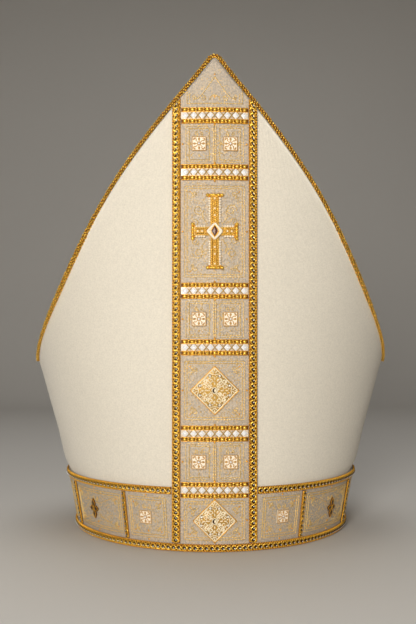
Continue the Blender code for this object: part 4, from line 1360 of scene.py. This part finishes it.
class MITRE_OT_crown(Operator):
    """Make the soft cloth between the horns"""

    bl_idname = "mitre.crown"
    bl_label = "Soft crown"

    def execute(self, context):
        piece, points = crown_piece()
        made = dress(piece.build("crown_cloth"), "crown_cloth", "crown_gusset_front", "crown_gusset_back")
        return {"FINISHED"}


class MITRE_OT_lame(Operator):
    """Make the lamé of the columns and the band"""

    bl_idname = "mitre.lame"
    bl_label = "Lamé"

    def execute(self, context):
        dress_both(lame_column_piece(), "lame_cloth", "column_lame_{}", "titulus_{}")
        dress_both(lame_band_piece(), "lame_cloth", "band_lame_{}", "circulus_{}", ("right", "left"))
        return {"FINISHED"}


class MITRE_OT_braids(Operator):
    """Make the gold braids with their dark stones"""

    bl_idname = "mitre.braids"
    bl_label = "Gold braids"

    def execute(self, context):
        step = context.scene.mitre_looks.braid_unit
        middle_x = COLUMN_HALF_WIDTH - 0.5 * COLUMN_BRAID_WIDTH
        bottom = BASE_BRAID_WIDTH + GAP
        height = float(column_top(middle_x)) - bottom
        parts = woven_braid(height, COLUMN_BRAID_WIDTH, step, COLUMN_STONE_LIFT)
        for hand, side in HANDS.items():

            def place(x, y, lift):
                offset = middle_x + side * x
                z = bottom + y / height * (column_top(offset) - bottom)
                return on_lame(side * offset, z, lift)

            dress_both(braid_piece(parts, place), "gold_braid", "column_braid_{}", "titulus_braid_{}",
                       (f"front_{hand}", f"back_{OPPOSITE[hand]}"))

        z0 = BAND_HEIGHT - 0.5 * BAND_BRAID_WIDTH
        start = float(angle_at(COLUMN_HALF_WIDTH + GAP, z0))
        half_round, length = round_band(start, np.pi - start, z0)
        parts = woven_braid(length, BAND_BRAID_WIDTH, step, ROUND_STONE_LIFT)
        piece = braid_piece(parts, lambda x, y, lift: half_round(y, -x, lift))
        dress_both(piece, "gold_braid", "band_braid_{}", "circulus_top_braid_{}", ("right", "left"))

        ring, length = round_band(np.pi, 3.0 * np.pi, 0.5 * (GAP + BASE_BRAID_WIDTH))
        parts = woven_braid(length, BASE_BRAID_WIDTH - GAP, step, ROUND_STONE_LIFT)
        piece = braid_piece(parts, lambda x, y, lift: ring(y, -x, lift))
        dress(piece.build("base_braid"), "gold_braid", "circulus_bottom_braid")

        low, high = BASE_BRAID_WIDTH + GAP, BAND_HEIGHT - BAND_BRAID_WIDTH - GAP
        parts = woven_braid(high - low, DIVIDER_WIDTH, DIVIDER_UNIT, ROUND_STONE_LIFT)
        for where, angle in DIVIDER_ANGLES.items():
            for hand, side in HANDS.items():
                piece = braid_piece(parts, on_band(side * angle, low))
                dress_both(piece, "gold_braid", "band_divider_{}", "divider_{}",
                           (f"front_{hand}_{where}", f"back_{OPPOSITE[hand]}_{where}"))
        return {"FINISHED"}


class MITRE_OT_cords(Operator):
    """Make the twisted cords on the horns' edges"""

    bl_idname = "mitre.cords"
    bl_label = "Edge cords"

    def execute(self, context):
        piece = cord_piece(context.scene.mitre_looks.cord_turn)
        dress_both(piece, "gold_cord", "horn_cord_{}", "edge_cord_{}")
        return {"FINISHED"}


class MITRE_OT_bars(Operator):
    """Make the crystal bars"""

    bl_idname = "mitre.bars"
    bl_label = "Crystal bars"

    def execute(self, context):
        for i in BAR_NUMBERS:
            middle, _ = box_middle(f"crystal_bar_front_{i}")
            dress_both(bar_piece(middle[2]), "crystal_bar", "bar_stones_{}", "crystal_bar_{}",
                       (f"front_{i}", f"back_{i}"))
        return {"FINISHED"}


class MITRE_OT_crosses(Operator):
    """Make the crosses with their stones"""

    bl_idname = "mitre.crosses"
    bl_label = "Crosses"

    def execute(self, context):
        middle, size = box_middle("cross_front")
        dress_both(cross_piece(middle[2], size[2]), "gold_cross", "jewel_cross_{}", "cross_{}")
        return {"FINISHED"}


class MITRE_OT_rosettes(Operator):
    """Make the square rosettes"""

    bl_idname = "mitre.rosettes"
    bl_label = "Rosettes"

    def execute(self, context):
        for end, turn in (("front", 1.0), ("back", -1.0)):
            for i in ROSETTE_NUMBERS:
                middle, size = box_middle(f"rosette_{end}_{i}")
                piece = rosette_piece(on_column(turn * middle[0], middle[2]), size[2])
                dress(piece.build(f"flower_{end}_{i}", end == "back"), "rosette", f"rosette_{end}_{i}")
        for hand in HANDS:
            middle, size = box_middle(f"band_rosette_{hand}")
            place = on_band(float(angle_at(middle[0], middle[2])), middle[2])
            piece = rosette_piece(place, size[2])
            dress(piece.build(f"band_flower_{hand}"), "rosette", f"band_rosette_{hand}")
        return {"FINISHED"}


class MITRE_OT_lozenges(Operator):
    """Make the scrollwork lozenges and the band's small motifs"""

    bl_idname = "mitre.lozenges"
    bl_label = "Lozenges"

    def execute(self, context):
        for i in LOZENGE_NUMBERS:
            middle, size = box_middle(f"lozenge_front_{i}")
            dress_both(lozenge_piece(middle[2], 0.5 * size[2]), "lozenge", "scroll_lozenge_{}",
                       "lozenge_{}", (f"front_{i}", f"back_{i}"))
        for hand in HANDS:
            middle, _ = box_middle(f"band_motif_{hand}")
            piece = motif_piece(float(angle_at(middle[0], middle[2])), middle[2])
            dress(piece.build(f"stone_motif_{hand}"), "dark_gold", f"band_motif_{hand}")
        return {"FINISHED"}


class MITRE_OT_embroidery(Operator):
    """Make the couched gold threads on the lamé"""

    bl_idname = "mitre.embroidery"
    bl_label = "Embroidery"

    def execute(self, context):
        dress_both(column_embroidery(), "gold_braid", "column_threads_{}")
        for front, ends in ((True, ("front_right", "back_left")), (False, ("back_right", "front_left"))):
            dress_both(band_embroidery(front), "gold_braid", "band_threads_{}", ends=ends)
        return {"FINISHED"}


class MITRE_OT_stage(Operator):
    """Make the floor, the lights and the camera"""

    bl_idname = "mitre.stage"
    bl_label = "Stage"

    def execute(self, context):
        scene = context.scene
        floor = Finish("stage_floor", (0.70, 0.68, 0.65), 0.85)
        floor.tint(floor.noise(3.0, 3.0), 0.97, 1.02)
        mesh = bpy.data.meshes.new("floor")
        depth, bend, rise, half = 1.1, 0.35, 1.6, 4.0
        turn = np.linspace(0.0, 0.5 * np.pi, 13)
        profile = [(-4.5, 0.0)] + [(depth + bend * math.sin(a), bend * (1 - math.cos(a))) for a in turn]
        profile.append((depth + bend, rise))
        points = [(x, y, z) for y, z in profile for x in (-half, half)]
        faces = [(2 * i, 2 * i + 1, 2 * i + 3, 2 * i + 2) for i in range(len(profile) - 1)]
        mesh.from_pydata(points, [], faces)
        mesh.shade_smooth()
        mesh.materials.append(floor.material)
        ground = bpy.data.objects.new("floor", mesh)
        scene.collection.objects.link(ground)

        for name, place, aim, size, energy, color in (
            # name, place, aim, size, energy, color
            ("key", (-0.22, -1.10, 0.34), (0.0, 0.0, 0.13), 0.40, 9.5, (1.0, 0.97, 0.92)),
            ("fill", (1.10, -1.00, 0.50), (0.0, 0.0, 0.13), 0.9, 0.6, (1.0, 0.98, 0.95)),
            ("top", (0.0, 0.25, 1.30), (0.0, 0.0, 0.15), 0.8, 4.0, (1.0, 0.99, 0.97)),
        ):
            light = bpy.data.lights.new(name, "AREA")
            light.shape = "DISK"
            light.size = size
            light.energy = energy
            light.color = color
            made = bpy.data.objects.new(name, light)
            made.location = place
            away = np.array(place) - np.array(aim)
            made.rotation_euler = (math.atan2(math.hypot(away[0], away[1]), away[2]), 0.0,
                                   math.atan2(away[0], -away[1]))
            scene.collection.objects.link(made)

        world = bpy.data.worlds.new("studio")
        world.use_nodes = True
        background = world.node_tree.nodes["Background"].inputs
        background["Color"].default_value = (1.0, 0.88, 0.72, 1.0)
        background["Strength"].default_value = 0.07
        scene.world = world

        yaw, distance, height = math.radians(1.3), 0.579, 0.1207
        camera = bpy.data.cameras.new("camera")
        camera.lens = 45.85
        camera.sensor_width = 36.0
        camera.shift_x = -0.0046
        camera.shift_y = 0.0630
        camera.clip_start = 0.01
        seen = bpy.data.objects.new("camera", camera)
        seen.location = (-distance * math.sin(yaw), -distance * math.cos(yaw), height)
        seen.rotation_euler = (0.5 * math.pi, 0.0, -yaw)
        scene.collection.objects.link(seen)
        scene.camera = seen
        scene.render.resolution_x = 832
        scene.render.resolution_y = 1248
        scene.view_settings.view_transform = "Standard"
        return {"FINISHED"}


OPERATORS = (
    MITRE_OT_panels,
    MITRE_OT_crown,
    MITRE_OT_lame,
    MITRE_OT_braids,
    MITRE_OT_cords,
    MITRE_OT_bars,
    MITRE_OT_crosses,
    MITRE_OT_rosettes,
    MITRE_OT_lozenges,
    MITRE_OT_embroidery,
    MITRE_OT_stage,
)


class MITRE_PT_sidebar(Panel):
    """Lists the mitre's pieces and looks"""

    bl_label = "Bishop mitre"
    bl_idname = "MITRE_PT_sidebar"
    bl_space_type = "VIEW_3D"
    bl_region_type = "UI"
    bl_category = "Mitre"

    def draw(self, context):
        for operator in OPERATORS:
            self.layout.operator(operator.bl_idname)
        for key in MitreLooks.__annotations__:
            self.layout.prop(context.scene.mitre_looks, key)


CLASSES = (MitreLooks, *OPERATORS, MITRE_PT_sidebar)


def register():
    """Register the classes and the scene's looks."""
    for item in CLASSES:
        bpy.utils.register_class(item)
    bpy.types.Scene.mitre_looks = PointerProperty(type=MitreLooks)


def unregister():
    """Take the classes and the scene's looks away again."""
    del bpy.types.Scene.mitre_looks
    for item in reversed(CLASSES):
        bpy.utils.unregister_class(item)


def main():
    """Make every piece."""
    register()
    for operator in OPERATORS:
        group, name = operator.bl_idname.split(".")
        getattr(getattr(bpy.ops, group), name)()


if __name__ == "__main__":
    main()
